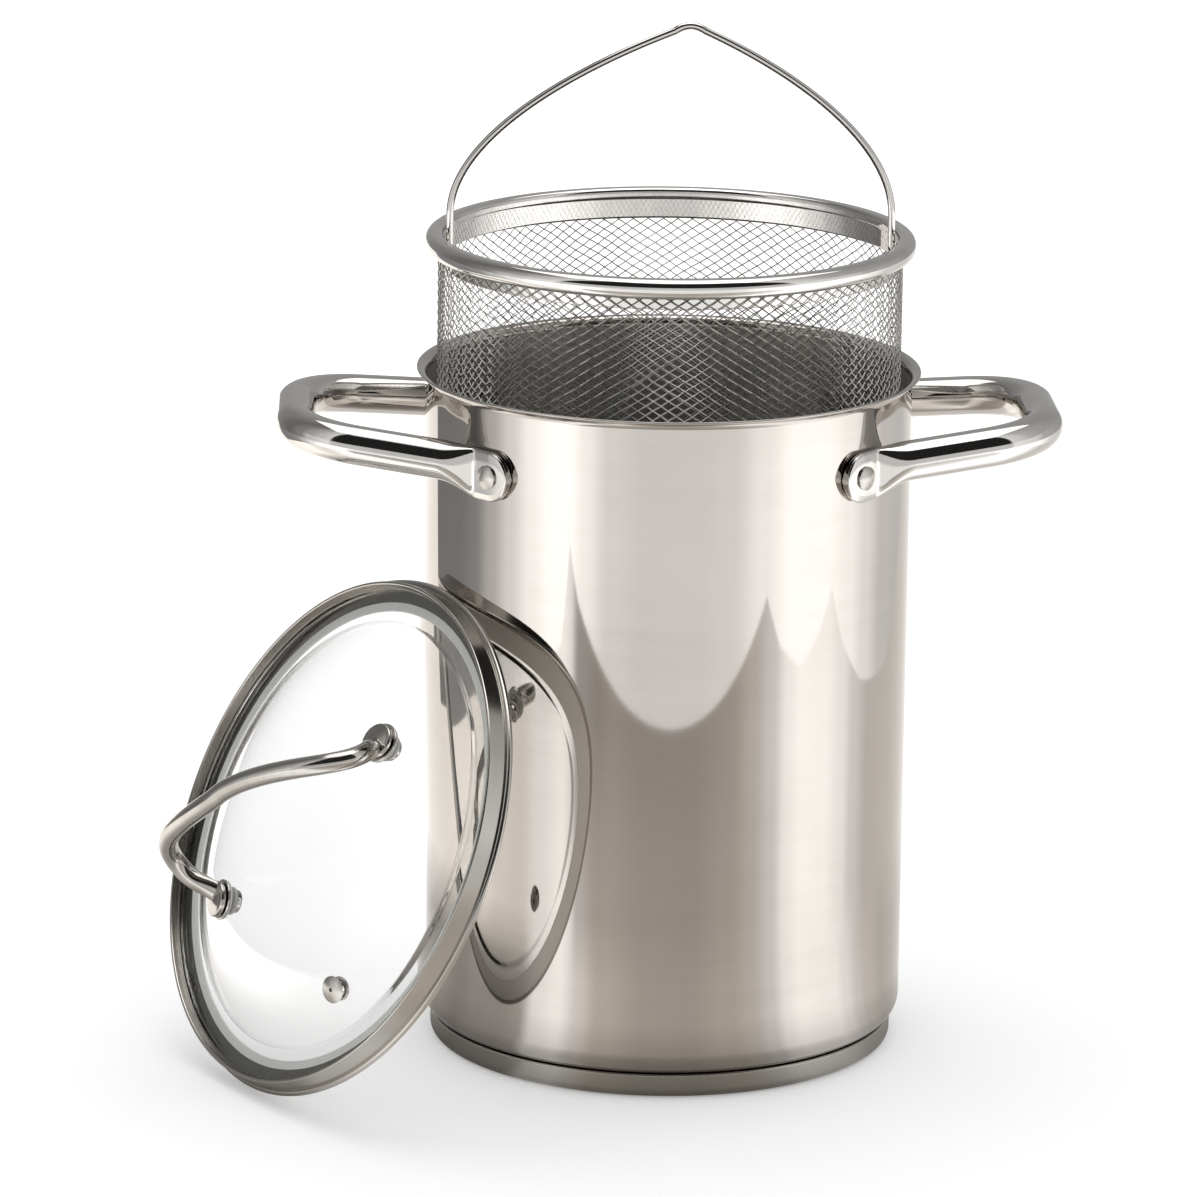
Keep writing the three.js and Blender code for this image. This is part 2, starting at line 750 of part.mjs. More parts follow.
const screwPlaces = {
  a: domePlace(screwReach, lidHandleTurn),
  b: domePlace(screwReach, lidHandleTurn + halfTurn),
};
const ventPlace = domePlace(ventReach, ventTurn);

// Domed plate with a flat edge, drilled for the two screws and the vent
function lidGlass() {
  const over = [];
  const under = [];
  for (let i = 0; i <= domeSteps; i++) {
    const reach = domeRadius * i / domeSteps;
    over.push(point(reach, domeHeight(reach)));
    under.push(point(reach, domeHeight(reach) - glassThickness));
  }
  const plate = turned([
    ...under,
    point(glassRadius - glassEdgeRound, glassUnderside),
    point(glassRadius, glassUnderside + glassEdgeRound),
    point(glassRadius, glassEdgeTop - glassEdgeRound),
    point(glassRadius - glassEdgeRound, glassEdgeTop),
    ...over.reverse(),
  ]);
  const drill = (place, radius) => bar(radius + lidFit, drillLength, place.spot, place.facing);
  return cut(plate, [
    drill(screwPlaces.a, screwShank),
    drill(screwPlaces.b, screwShank),
    drill(ventPlace, ventTube),
  ]);
}

// Heights of the stack at each foot of the handle, above the glass and below it
const washerBase = lidFit + gasketThickness + lidFit;
const footBase = washerBase + washerThickness + lidFit;
const footTop = footBase + footThickness;
const padTop = -glassThickness - lidFit;
const headTop = padTop - padThickness - lidFit;

// Pressed foot of the handle with a domed face, along +Z
function handleFoot() {
  return turned([
    point(0, footBase),
    point(footRadius - footBevel, footBase),
    point(footRadius, footBase + footBevel),
    point(footRadius, footTop - footBevel),
    point(footRadius - footBevel, footTop),
    ...dome(footFace, footTop, footDome),
  ], rodSteps);
}

// Handle: a rod that arches from foot to foot, bulges over the feet and swings out to both sides,
// like a flat S from above
function lidHandle() {
  const { spot, facing } = domePlace(screwReach, 0);
  const foot = spot.clone().addScaledVector(facing, (footBase + footTop) / 2);
  const route = [];
  for (let i = 0; i <= lidHandleSteps; i++) {
    const angle = Math.PI * (i / lidHandleSteps - 1 / 2);
    const share = Math.abs(angle) / (Math.PI / 2);
    const swing = -Math.sign(angle) * lidHandleSwing * Math.sin(Math.PI * share ** lidHandleSkew);
    const bulge = lidHandleBulge * Math.sin(angle) * Math.abs(Math.sin(angle)) * Math.cos(angle);
    const rise = lidHandleRise * Math.cos(angle);
    route.push(new THREE.Vector3(foot.x * Math.sin(angle) + bulge, swing, foot.z + rise));
  }
  const rings = route.map((centre, i) => {
    const way = route[Math.min(i + 1, lidHandleSteps)].clone().sub(route[Math.max(i - 1, 0)]).normalize();
    const side = way.clone().cross(axisZ).normalize();
    // The rod's ends are pressed thin so that they run out inside the feet
    const clearOfFoot = THREE.MathUtils.smoothstep(centre.z - foot.z, 0, footRadius);
    return {
      centre,
      side,
      up: way.clone().cross(side),
      halfWidth: lidRod,
      halfHeight: THREE.MathUtils.lerp(lidRodEnd, lidRod, clearOfFoot),
      squareness: 2,
    };
  });
  let solid = solidOf(loft(rings));
  for (const turn of [0, halfTurn]) {
    const place = domePlace(screwReach, turn);
    const lean = new THREE.Quaternion().setFromUnitVectors(axisZ, place.facing);
    const base = handleFoot().applyQuaternion(lean).translate(place.spot.x, place.spot.y, place.spot.z);
    solid = solid.add(solidOf(base));
    const drillCentre = footBase + footHoleDepth - drillLength / 2;
    const drillSpot = place.spot.clone().addScaledVector(place.facing, drillCentre);
    solid = solid.subtract(solidOf(bar(screwShank + lidFit, drillLength, drillSpot, place.facing)));
  }
  return geometryOf(solid).rotateZ(radians(lidHandleTurn));
}

// Screw from inside the lid: a low head under the glass and a shank that ends in the foot
function lidScrew() {
  return turned([
    point(0, headTop - screwHeadHeight),
    point(screwHead - screwHeadBevel, headTop - screwHeadHeight),
    point(screwHead, headTop - screwHeadHeight + screwHeadBevel),
    point(screwHead, headTop),
    point(screwShank, headTop),
    point(screwShank, footBase + footHoleDepth - lidFit),
    point(0, footBase + footHoleDepth - lidFit),
  ], smallSteps);
}

// Flat ring round the screw's shank
function washer(radius, base, thickness) {
  return turnedRing([
    point(screwShank + lidFit, base),
    point(radius, base),
    point(radius, base + thickness),
    point(screwShank + lidFit, base + thickness),
  ], smallSteps);
}

// Steam vent: a tubular grommet with a rounded flange on each face of the glass
function ventGrommet() {
  const low = -glassThickness - lidFit;
  const half = ventFlangeThickness / 2;
  return turnedRing([
    point(ventBore, low - ventFlangeThickness),
    ...arc(ventFlange - half, low - half, half, -90, 90),
    point(ventTube, low),
    point(ventTube, lidFit),
    ...arc(ventFlange - half, lidFit + half, half, -90, 90),
    point(ventBore, lidFit + ventFlangeThickness),
  ], smallSteps);
}

const bandGeometry = lidBand();
add(lid, 'lid_band', bandGeometry, brushedSteel);
add(lid, 'lid_glass', lidGlass(), clearGlass);
add(lid, 'lid_handle', lidHandle(), brightSteel);
for (const [letter, place] of Object.entries(screwPlaces)) {
  const stack = new THREE.Group();
  stack.position.copy(place.spot);
  stack.quaternion.setFromUnitVectors(axisZ, place.facing);
  lid.add(stack);
  add(stack, `lid_top_gasket_${letter}`, washer(gasketRadius, lidFit, gasketThickness), silicone);
  add(stack, `lid_washer_${letter}`, washer(washerRadius, washerBase, washerThickness), brightSteel);
  add(stack, `lid_under_gasket_${letter}`, washer(padRadius, padTop - padThickness, padThickness), silicone);
  add(stack, `lid_screw_${letter}`, lidScrew(), brightSteel);
}
const vent = add(lid, 'vent_grommet', ventGrommet(), brightSteel);
vent.position.copy(ventPlace.spot);
vent.quaternion.setFromUnitVectors(axisZ, ventPlace.facing);

// The lid's face looks out along its heading, tilted up; it then goes down to the floor and in to the
// pot's wall until its band is one rest gap away from each
function leanLid() {
  const across = outward(lidHeading + 90);
  const face = outward(lidHeading).multiplyScalar(Math.cos(radians(lidTilt)));
  face.z = Math.sin(radians(lidTilt));
  const upward = face.clone().cross(across);
  lid.quaternion.setFromRotationMatrix(new THREE.Matrix4().makeBasis(across, upward, face));
  const spots = [];
  const places = bandGeometry.attributes.position;
  for (let i = 0; i < places.count; i++) {
    spots.push(new THREE.Vector3().fromBufferAttribute(places, i).applyQuaternion(lid.quaternion));
  }
  const lowest = Math.min(...spots.map((spot) => spot.z));
  const bearing = outward(lidBearing);
  let near = 0;
  let far = 2 * (potRadius + lidRadius);
  const halvings = 50;
  for (let i = 0; i < halvings; i++) {
    const middle = (near + far) / 2;
    const reach = spots.map((spot) => Math.hypot(spot.x + middle * bearing.x, spot.y + middle * bearing.y));
    if (Math.min(...reach) < potRadius + restGap) near = middle;
    else far = middle;
  }
  lid.position.copy(bearing.multiplyScalar(far)).setZ(restGap - lowest);
}

leanLid();
object.updateMatrixWorld(true);

export default object;
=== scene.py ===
import random
from math import acos, asin, atan2, comb, copysign, cos, degrees, hypot, pi, radians, sin, sqrt, tan

import bmesh
import bpy
from mathutils import Matrix, Vector


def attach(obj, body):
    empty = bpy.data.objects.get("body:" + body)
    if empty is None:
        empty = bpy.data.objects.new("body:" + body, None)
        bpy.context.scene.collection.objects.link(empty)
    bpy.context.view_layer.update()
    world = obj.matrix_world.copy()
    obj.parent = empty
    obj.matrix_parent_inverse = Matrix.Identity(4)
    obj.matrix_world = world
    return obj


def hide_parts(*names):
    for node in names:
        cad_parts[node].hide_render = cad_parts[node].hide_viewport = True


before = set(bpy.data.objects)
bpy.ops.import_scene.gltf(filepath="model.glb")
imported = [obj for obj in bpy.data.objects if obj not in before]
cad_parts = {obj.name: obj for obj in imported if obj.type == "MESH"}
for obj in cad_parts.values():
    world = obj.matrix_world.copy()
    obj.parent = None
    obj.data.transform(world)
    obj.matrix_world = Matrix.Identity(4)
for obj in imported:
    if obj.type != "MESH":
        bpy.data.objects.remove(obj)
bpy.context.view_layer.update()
scene = bpy.context.scene
mm = 0.001  # shapes below are in millimetres
upward = Vector((0, 0, 1))
print("frame loaded:", len(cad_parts), "nodes")


# outlines, turning and lofting

def arc(x, y, radius, start, end, steps):
    points = []
    for i in range(steps + 1):
        angle = radians(start + (end - start) * i / steps)
        points.append((x + radius * cos(angle), y + radius * sin(angle)))
    return points


# a quarter round in place of the corner x, y of an outline, from the angle where it starts
def corner(x, y, radius, start, steps):
    inX, inY = (-1 if start < 90 else 1), (1 if start in (-90, 180) else -1)
    return arc(x + inX * radius, y + inY * radius, radius, start, start + 90, steps)


def dome(edge, base, rise, steps):
    sphere = (edge ** 2 + rise ** 2) / (2 * rise)
    angle = degrees(asin(edge / sphere))
    return arc(0, base + rise - sphere, sphere, 90 - angle, 90, steps)


def outward(bearing):
    return Vector((cos(radians(bearing)), sin(radians(bearing)), 0))


def mix(a, b, share):
    return a + (b - a) * share


def ease(value, low, high):
    share = min(max((value - low) / (high - low), 0), 1)
    return share * share * (3 - 2 * share)


# the direction of a route at one of its points
def wayAt(route, i):
    return (route[min(i + 1, len(route) - 1)] - route[max(i - 1, 0)]).normalized()


# extra points near the ends of long straight runs keep the shading of flat walls flat
def withSupport(outline, closed, gap=0.4):
    points = list(outline) + ([outline[0]] if closed else [])
    result = []
    for (x0, y0), (x1, y1) in zip(points, points[1:]):
        result.append((x0, y0))
        length = hypot(x1 - x0, y1 - y0)
        if length > 5 * gap:
            share = gap / length
            result.append((mix(x0, x1, share), mix(y0, y1, share)))
            result.append((mix(x1, x0, share), mix(y1, y0, share)))
    if not closed:
        result.append(points[-1])
    return result


# an outline of radius and height, drawn counterclockwise, turned about Z
def turned(outline, steps, closed=False):
    verts, faces, rows = [], [], []
    for radius, height in withSupport(outline, closed):
        first = len(verts)
        if radius < 1e-6:
            verts.append((0, 0, height))
            rows.append([first] * steps)
            continue
        for i in range(steps):
            angle = 2 * pi * i / steps
            verts.append((radius * cos(angle), radius * sin(angle), height))
        rows.append(list(range(first, first + steps)))
    pairs = list(zip(rows, rows[1:])) + ([(rows[-1], rows[0])] if closed else [])
    for low, high in pairs:
        for i in range(steps):
            j = (i + 1) % steps
            face = []
            for point in (low[i], low[j], high[j], high[i]):
                if point not in face:
                    face.append(point)
            if len(face) > 2:
                faces.append(face)
    return verts, faces


# a closed skin through oval rings: centre, two directions with half sizes, and squareness
def lofted(rings, sides):
    verts, faces = [], []
    for centre, side, up, halfWidth, halfHeight, squareness in rings:
        for i in range(sides):
            angle = 2 * pi * i / sides
            c, s = cos(angle), sin(angle)
            across = copysign(abs(c) ** (2 / squareness), c)
            along = copysign(abs(s) ** (2 / squareness), s)
            verts.append(centre + side * (across * halfWidth) + up * (along * halfHeight))
    for r in range(len(rings) - 1):
        for i in range(sides):
            j = (i + 1) % sides
            a, b = r * sides + i, r * sides + j
            faces.append((a, b, b + sides, a + sides))
    last = (len(rings) - 1) * sides
    faces.append(list(range(sides))[::-1])
    faces.append(list(range(last, last + sides)))
    return verts, faces


def markEdges(mesh, sharpAngle=38):
    bm = bmesh.new()
    bm.from_mesh(mesh)
    bmesh.ops.recalc_face_normals(bm, faces=bm.faces)
    for face in bm.faces:
        face.smooth = True
    for edge in bm.edges:
        if len(edge.link_faces) == 2:
            edge.smooth = edge.calc_face_angle() < radians(sharpAngle)
    bm.to_mesh(mesh)
    bm.free()


def addObject(name, data):
    holder = bpy.data.objects.new(name, data)
    scene.collection.objects.link(holder)
    return holder


def newObject(name, verts, faces, place=None):
    mesh = bpy.data.meshes.new(name)
    mesh.from_pydata([tuple(Vector(v) * mm) for v in verts], [], [tuple(f) for f in faces])
    if place is not None:
        mesh.transform(place)
    markEdges(mesh)
    return addObject(name, mesh)


def dress(piece, material, body, slot, *nodes):
    piece.data.materials.clear()
    piece.data.materials.append(material)
    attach(piece, body)
    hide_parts(*nodes)


# cuts other objects out of a piece and removes them
def carve(piece, tools):
    for tool in tools:
        step = piece.modifiers.new("carve", "BOOLEAN")
        step.operation = "DIFFERENCE"
        step.solver = "EXACT"
        step.object = tool
    bpy.context.view_layer.update()
    shaped = piece.evaluated_get(bpy.context.evaluated_depsgraph_get())
    mesh = bpy.data.meshes.new_from_object(shaped)
    piece.modifiers.clear()
    piece.data = mesh
    for tool in tools:
        bpy.data.objects.remove(tool)
    markEdges(mesh)


# several closed skins kept as one piece
def join(piece, others):
    bm = bmesh.new()
    for part in [piece] + others:
        bm.from_mesh(part.data)
    bm.to_mesh(piece.data)
    bm.free()
    for part in others:
        bpy.data.objects.remove(part)


# shader nodes, and the node groups that several finishes share

def link(tree, source, target):
    tree.links.new(source, target)


def addNode(tree, kind):
    return tree.nodes.new("ShaderNode" + kind)


def setInputs(node, values):
    for label, value in values.items():
        node.inputs[label].default_value = value


# each group takes a place and some numbers, and gives numbers
def newGroup(name, inputs, outputs):
    group = bpy.data.node_groups.new(name, "ShaderNodeTree")
    group.interface.new_socket("Place", in_out="INPUT", socket_type="NodeSocketVector")
    for way, labels in (("INPUT", inputs), ("OUTPUT", outputs)):
        for label in labels:
            group.interface.new_socket(label, in_out=way, socket_type="NodeSocketFloat")
    return group, group.nodes.new("NodeGroupInput"), group.nodes.new("NodeGroupOutput")


def mathNode(tree, operation, first, second=None):
    node = addNode(tree, "Math")
    node.operation = operation
    for socket, value in zip(node.inputs, (first, second)):
        if isinstance(value, (int, float)):
            socket.default_value = value
        elif value is not None:
            link(tree, value, socket)
    return node.outputs[0]


def times(tree, first, second):
    return mathNode(tree, "MULTIPLY", first, second)


def plus(tree, first, second):
    return mathNode(tree, "ADD", first, second)


def noiseNode(tree, place, scale, detail, roughness, fourth=None):
    node = addNode(tree, "TexNoise")
    setInputs(node, {"Detail": detail, "Roughness": roughness, "Scale": scale})
    link(tree, place, node.inputs["Vector"])
    if fourth is not None:
        node.noise_dimensions = "4D"
        link(tree, fourth, node.inputs["W"])
    return node.outputs["Fac"]


def rangeNode(tree, value, low, high, newLow=0.0, newHigh=1.0):
    node = addNode(tree, "MapRange")
    link(tree, value, node.inputs["Value"])
    setInputs(node, {"From Min": low, "From Max": high, "To Min": newLow, "To Max": newHigh})
    return node.outputs["Result"]


def splitNode(tree, place):
    node = addNode(tree, "SeparateXYZ")
    link(tree, place, node.inputs[0])
    return node.outputs


# distance from the Z axis
def reachNode(tree, split):
    squares = [mathNode(tree, "POWER", split[axis], 2.0) for axis in ("X", "Y")]
    return mathNode(tree, "SQRT", plus(tree, *squares))


# fine lines that run round the axis, as brushing and spinning leave them
def makeSpunGrain():
    group, start, end = newGroup("spunGrain", ("Lines", "Run"), ("Height", "Streak"))
    split = splitNode(group, start.outputs["Place"])
    flat = addNode(group, "CombineXYZ")
    for axis in ("X", "Y"):
        link(group, split[axis], flat.inputs[axis])
    length = addNode(group, "VectorMath")
    length.operation = "LENGTH"
    link(group, flat.outputs[0], length.inputs[0])
    for label, coarse in (("Height", 1.0), ("Streak", 0.12)):
        lines = times(group, start.outputs["Lines"], coarse)
        place = addNode(group, "CombineXYZ")
        for axis in ("X", "Y"):
            link(group, times(group, split[axis], start.outputs["Run"]), place.inputs[axis])
        link(group, times(group, length.outputs["Value"], lines), place.inputs["Z"])
        along = times(group, split["Z"], lines)
        link(group, noiseNode(group, place.outputs[0], 1.0, 2.0, 0.6, along), end.inputs[label])
    return group


# faint cloudy marks and fine scratches from use and wiping
def makeHandling():
    group, start, end = newGroup("handling", ("Size",), ("Smudge", "Scratch"))
    scaled = addNode(group, "VectorMath")
    scaled.operation = "SCALE"
    link(group, start.outputs["Place"], scaled.inputs[0])
    link(group, start.outputs["Size"], scaled.inputs["Scale"])
    cloud = noiseNode(group, scaled.outputs[0], 1.0, 4.0, 0.55)
    link(group, rangeNode(group, cloud, 0.35, 0.7), end.inputs["Smudge"])
    stretched = addNode(group, "Mapping")
    setInputs(stretched, {"Scale": (40.0, 2.0, 17.0), "Rotation": (0.4, 0.7, 0.2)})
    link(group, scaled.outputs[0], stretched.inputs["Vector"])
    link(group, noiseNode(group, stretched.outputs[0], 1.0, 3.0, 0.65), end.inputs["Scratch"])
    return group


spunGrain = makeSpunGrain()
handling = makeHandling()


def groupNode(tree, group, place, **values):
    node = addNode(tree, "Group")
    node.node_tree = group
    link(tree, place, node.inputs["Place"])
    setInputs(node, values)
    return node


# a leaning piece's finish is read in that piece's own frame
def newMaterial(name, lean=None):
    material = bpy.data.materials.new(name)
    material.use_nodes = True
    tree = material.node_tree
    shader = tree.nodes["Principled BSDF"]
    place = addNode(tree, "TexCoord").outputs["Object"]
    if lean is not None:
        upright = addNode(tree, "Mapping")
        upright.vector_type = "TEXTURE"
        setInputs(upright, {"Location": lean.to_translation(), "Rotation": lean.to_euler()})
        link(tree, place, upright.inputs["Vector"])
        place = upright.outputs["Vector"]
    return material, tree, shader, place


def colourMix(tree, share, first, second):
    node = addNode(tree, "Mix")
    node.data_type = "RGBA"
    link(tree, share, node.inputs["Factor"])
    node.inputs[6].default_value = (*first, 1)
    node.inputs[7].default_value = (*second, 1)
    return node.outputs[2]


def bumpNode(tree, height, depth):
    node = addNode(tree, "Bump")
    setInputs(node, {"Strength": 1, "Distance": depth})
    link(tree, height, node.inputs["Height"])
    return node.outputs["Normal"]


steelLabels = ("colour", "shade", "rough", "dulling", "lines", "run", "cloud", "depth")
steels = {
    "pot_satin_steel": ((0.50, 0.467, 0.44), (0.43, 0.40, 0.372), 0.022, 0.01, 1900.0, 26.0, 14.0, 2.8e-7),
    "pot_inside_steel": ((0.58, 0.56, 0.53), (0.50, 0.48, 0.45), 0.30, 0.05, 2200.0, 30.0, 18.0, 2e-6),
    "base_cap_steel": ((0.42, 0.395, 0.365), (0.33, 0.31, 0.285), 0.24, 0.03, 2400.0, 25.0, 12.0, 2e-6),
    "polished_steel": ((0.64, 0.62, 0.595), (0.54, 0.52, 0.495), 0.03, 0.025, 900.0, 900.0, 60.0, 1.5e-7),
    "tumbled_steel": ((0.52, 0.50, 0.47), (0.42, 0.40, 0.37), 0.2, 0.06, 1200.0, 1200.0, 120.0, 1e-6),
    "lid_rod_steel": ((0.50, 0.48, 0.45), (0.40, 0.38, 0.35), 0.09, 0.04, 1200.0, 1200.0, 120.0, 5e-7),
    "mesh_wire_steel": ((0.62, 0.605, 0.58), (0.45, 0.43, 0.40), 0.16, 0.06, 1500.0, 1500.0, 90.0, 2e-6),
    "core_aluminium": ((0.55, 0.56, 0.57), (0.42, 0.43, 0.44), 0.35, 0.1, 1800.0, 60.0, 40.0, 4e-6),
    "lid_band_steel": ((0.52, 0.495, 0.46), (0.38, 0.36, 0.33), 0.15, 0.05, 2400.0, 35.0, 25.0, 2.5e-6),
    # the flange steel below is painted pale and only partly metal, a painted reflection of the white around
    # it
    "lid_flange_painted_reflection": ((0.92, 0.91, 0.885), (0.82, 0.81, 0.78), 0.5, 0.1, 2400.0, 35.0, 25.0, 3e-6),
    # the seat steel below is darkened, a painted shade where the glass sits on the band
    "lid_seat_painted_shade": ((0.30, 0.28, 0.25), (0.22, 0.205, 0.185), 0.2, 0.06, 2400.0, 35.0, 25.0, 3e-6),
}


# spun or polished steel: brushing round the axis, cloudy wiping marks, a sheen that follows both
def makeSteel(name, lean=None, metal=1, pull=0):
    look = dict(zip(steelLabels, steels[name]))
    material, tree, shader, place = newMaterial(name, lean)
    grain = groupNode(tree, spunGrain, place, Lines=look["lines"], Run=look["run"])
    marks = groupNode(tree, handling, place, Size=look["cloud"])
    tone = times(tree, grain.outputs["Streak"], marks.outputs["Smudge"])
    link(tree, colourMix(tree, tone, look["colour"], look["shade"]), shader.inputs["Base Color"])
    cloudy = plus(tree, times(tree, marks.outputs["Smudge"], look["dulling"]), look["rough"])
    fine = times(tree, marks.outputs["Scratch"], look["dulling"])
    link(tree, plus(tree, cloudy, fine), shader.inputs["Roughness"])
    link(tree, bumpNode(tree, grain.outputs["Height"], look["depth"]), shader.inputs["Normal"])
    shader.inputs["Metallic"].default_value = metal
    if pull:  # the sheen is drawn out across the brushing
        setInputs(shader, {"Anisotropic": pull, "Anisotropic Rotation": 0.25})
        tangent = addNode(tree, "Tangent")
        tangent.direction_type = "RADIAL"
        tangent.axis = "Z"
        link(tree, tangent.outputs[0], shader.inputs["Tangent"])
    return material


potSteel = makeSteel("pot_satin_steel", pull=0.5)
insideSteel = makeSteel("pot_inside_steel")
capSteel = makeSteel("base_cap_steel")
brightSteel = makeSteel("polished_steel")
buttonSteel = makeSteel("tumbled_steel")
rodSteel = makeSteel("lid_rod_steel")
wireSteel = makeSteel("mesh_wire_steel")
coreAluminium = makeSteel("core_aluminium")


# clear glass that turns faintly green towards its rim, with light wiping marks
def makeGlass(lean):
    look = {
        "middle": (0.995, 0.997, 0.996), "rim": (0.965, 0.98, 0.97), "fadeFrom": 0.070, "fadeTo": 0.084,
        "cloud": 26.0, "dulling": 0.012, "ior": 1.5, "shadow": (0.93, 0.95, 0.94),
    }
    material, tree, shader, place = newMaterial("lid_clear_glass", lean)
    marks = groupNode(tree, handling, place, Size=look["cloud"])
    fade = rangeNode(tree, reachNode(tree, splitNode(tree, place)), look["fadeFrom"], look["fadeTo"])
    link(tree, colourMix(tree, fade, look["middle"], look["rim"]), shader.inputs["Base Color"])
    wiped = rangeNode(tree, marks.outputs["Smudge"], 0.0, 1.0, 0.0, look["dulling"])
    link(tree, wiped, shader.inputs["Roughness"])
    setInputs(shader, {"IOR": look["ior"], "Transmission Weight": 1})
    clear = addNode(tree, "BsdfTransparent")
    clear.inputs["Color"].default_value = (*look["shadow"], 1)
    path = addNode(tree, "LightPath")
    either = addNode(tree, "MixShader")
    for i, source in enumerate((path.outputs["Is Shadow Ray"], shader.outputs[0], clear.outputs[0])):
        link(tree, source, either.inputs[i])
    link(tree, either.outputs[0], tree.nodes["Material Output"].inputs["Surface"])
    return material


# soft translucent white rubber with a faint bloom
def makeSilicone():
    look = {
        "colour": (0.70, 0.70, 0.68), "shade": (0.58, 0.58, 0.56), "cloud": 220.0,
        "roughLow": 0.42, "roughHigh": 0.6, "depth": 2e-5,
    }
    material, tree, shader, place = newMaterial("silicone_pad")
    marks = groupNode(tree, handling, place, Size=look["cloud"])
    bloom = marks.outputs["Smudge"]
    link(tree, colourMix(tree, bloom, look["colour"], look["shade"]), shader.inputs["Base Color"])
    worn = rangeNode(tree, marks.outputs["Scratch"], 0.3, 0.7, look["roughLow"], look["roughHigh"])
    link(tree, worn, shader.inputs["Roughness"])
    link(tree, bumpNode(tree, bloom, look["depth"]), shader.inputs["Normal"])
    return material


silicone = makeSilicone()
print("finishes made")


# pot body and its capsule base

pot = {"radius": 80.7, "height": 229, "wall": 0.8, "corner": 8, "flare": 3.3, "floor": 7.0, "steps": 192}
base = {"radius": 77.8, "wall": 0.6, "corner": 2.6, "seam": 0.42, "edge": 0.55, "turnIn": 0.2, "steps": 160}


def makePotBody():
    rimX, rimZ = pot["radius"] - pot["wall"] + pot["flare"], pot["height"] - pot["flare"]
    cornerX, cornerZ = pot["radius"] - pot["corner"], pot["floor"] + pot["corner"]
    lip = pot["wall"] / 2
    outline = [(0, pot["floor"])]
    outline += arc(cornerX, cornerZ, pot["corner"], -90, 0, 14)
    outline += arc(rimX, rimZ, pot["flare"] - pot["wall"], 180, 90, 10)
    outline += arc(rimX, pot["height"] - lip, lip, -90, 90, 8)[1:-1]
    outline += arc(rimX, rimZ, pot["flare"], 90, 180, 10)
    outline += arc(cornerX, cornerZ, pot["corner"] - pot["wall"], 0, -90, 14)
    outline += [(0, pot["floor"] + pot["wall"])]
    piece = newObject("potBody", *turned(outline, pot["steps"]))
    dress(piece, potSteel, "pot", "satin_steel", "pot_body")
    # the inside is brushed duller than the outside
    piece.data.materials.append(insideSteel)
    for face in piece.data.polygons:
        spot, way = face.center / mm, face.normal
        inward = spot.x * way.x + spot.y * way.y < -1
        floorSide = way.z > 0.2 and spot.z < cornerZ
        if (inward or floorSide) and spot.z < rimZ:
            face.material_index = 1


def makeBaseCap():
    inside = base["radius"] - base["wall"]
    fromCorner = inside - (pot["radius"] - pot["corner"])
    top = pot["floor"] + pot["corner"] - sqrt(pot["corner"] ** 2 - fromCorner ** 2) - base["seam"]
    middle = base["radius"] - base["corner"]
    edge, turnIn = base["edge"], base["turnIn"]
    outline = [(0, 0)]
    outline += corner(base["radius"], 0, base["corner"], -90, 10)
    outline += corner(base["radius"], top, edge, 0, 8)
    outline += arc(base["radius"] - edge, top - turnIn, turnIn, 90, 180, 4)
    outline += [(base["radius"] - edge, top - 2 * turnIn), (inside, top - edge)]
    outline += arc(middle, base["corner"], base["corner"] - base["wall"], 0, -90, 8)
    outline += [(0, base["wall"])]
    piece = newObject("baseCap", *turned(outline, base["steps"]))
    dress(piece, capSteel, "pot", "brushed_steel", "base_cap")


makePotBody()
makeBaseCap()
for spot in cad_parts["base_core"].material_slots:
    spot.material = coreAluminium
print("pot and base made")


# bow handles: a rod grip with two legs that flatten into tabs on the wall, each with a rivet

bow = {
    "rod": 6.6, "standoff": 42.8, "gripInset": 22.9, "legRootInset": 10.7, "legRootToRivet": 8.6,
    "bend": 28, "climb": 6, "tab": 3, "tabHalf": 8.3, "flattening": 10, "settling": 4.4, "squareness": 3.4,
    "fit": 0.3, "sides": 40, "cornerSteps": 20, "flatSteps": 22, "endSteps": 18,
}
rivet = {
    "angle": 42.85, "height": 204.6, "shank": 2.5, "head": 3.9, "dome": 0.9, "skirt": 0.6, "tail": 4.5,
    "tailThickness": 1.7, "bevel": 0.5, "fit": 0.3, "headGap": 0.02, "sides": 48,
}
tabMiddle = pot["radius"] + bow["fit"] + bow["tab"] / 2
tabOuter = pot["radius"] + bow["fit"] + bow["tab"]


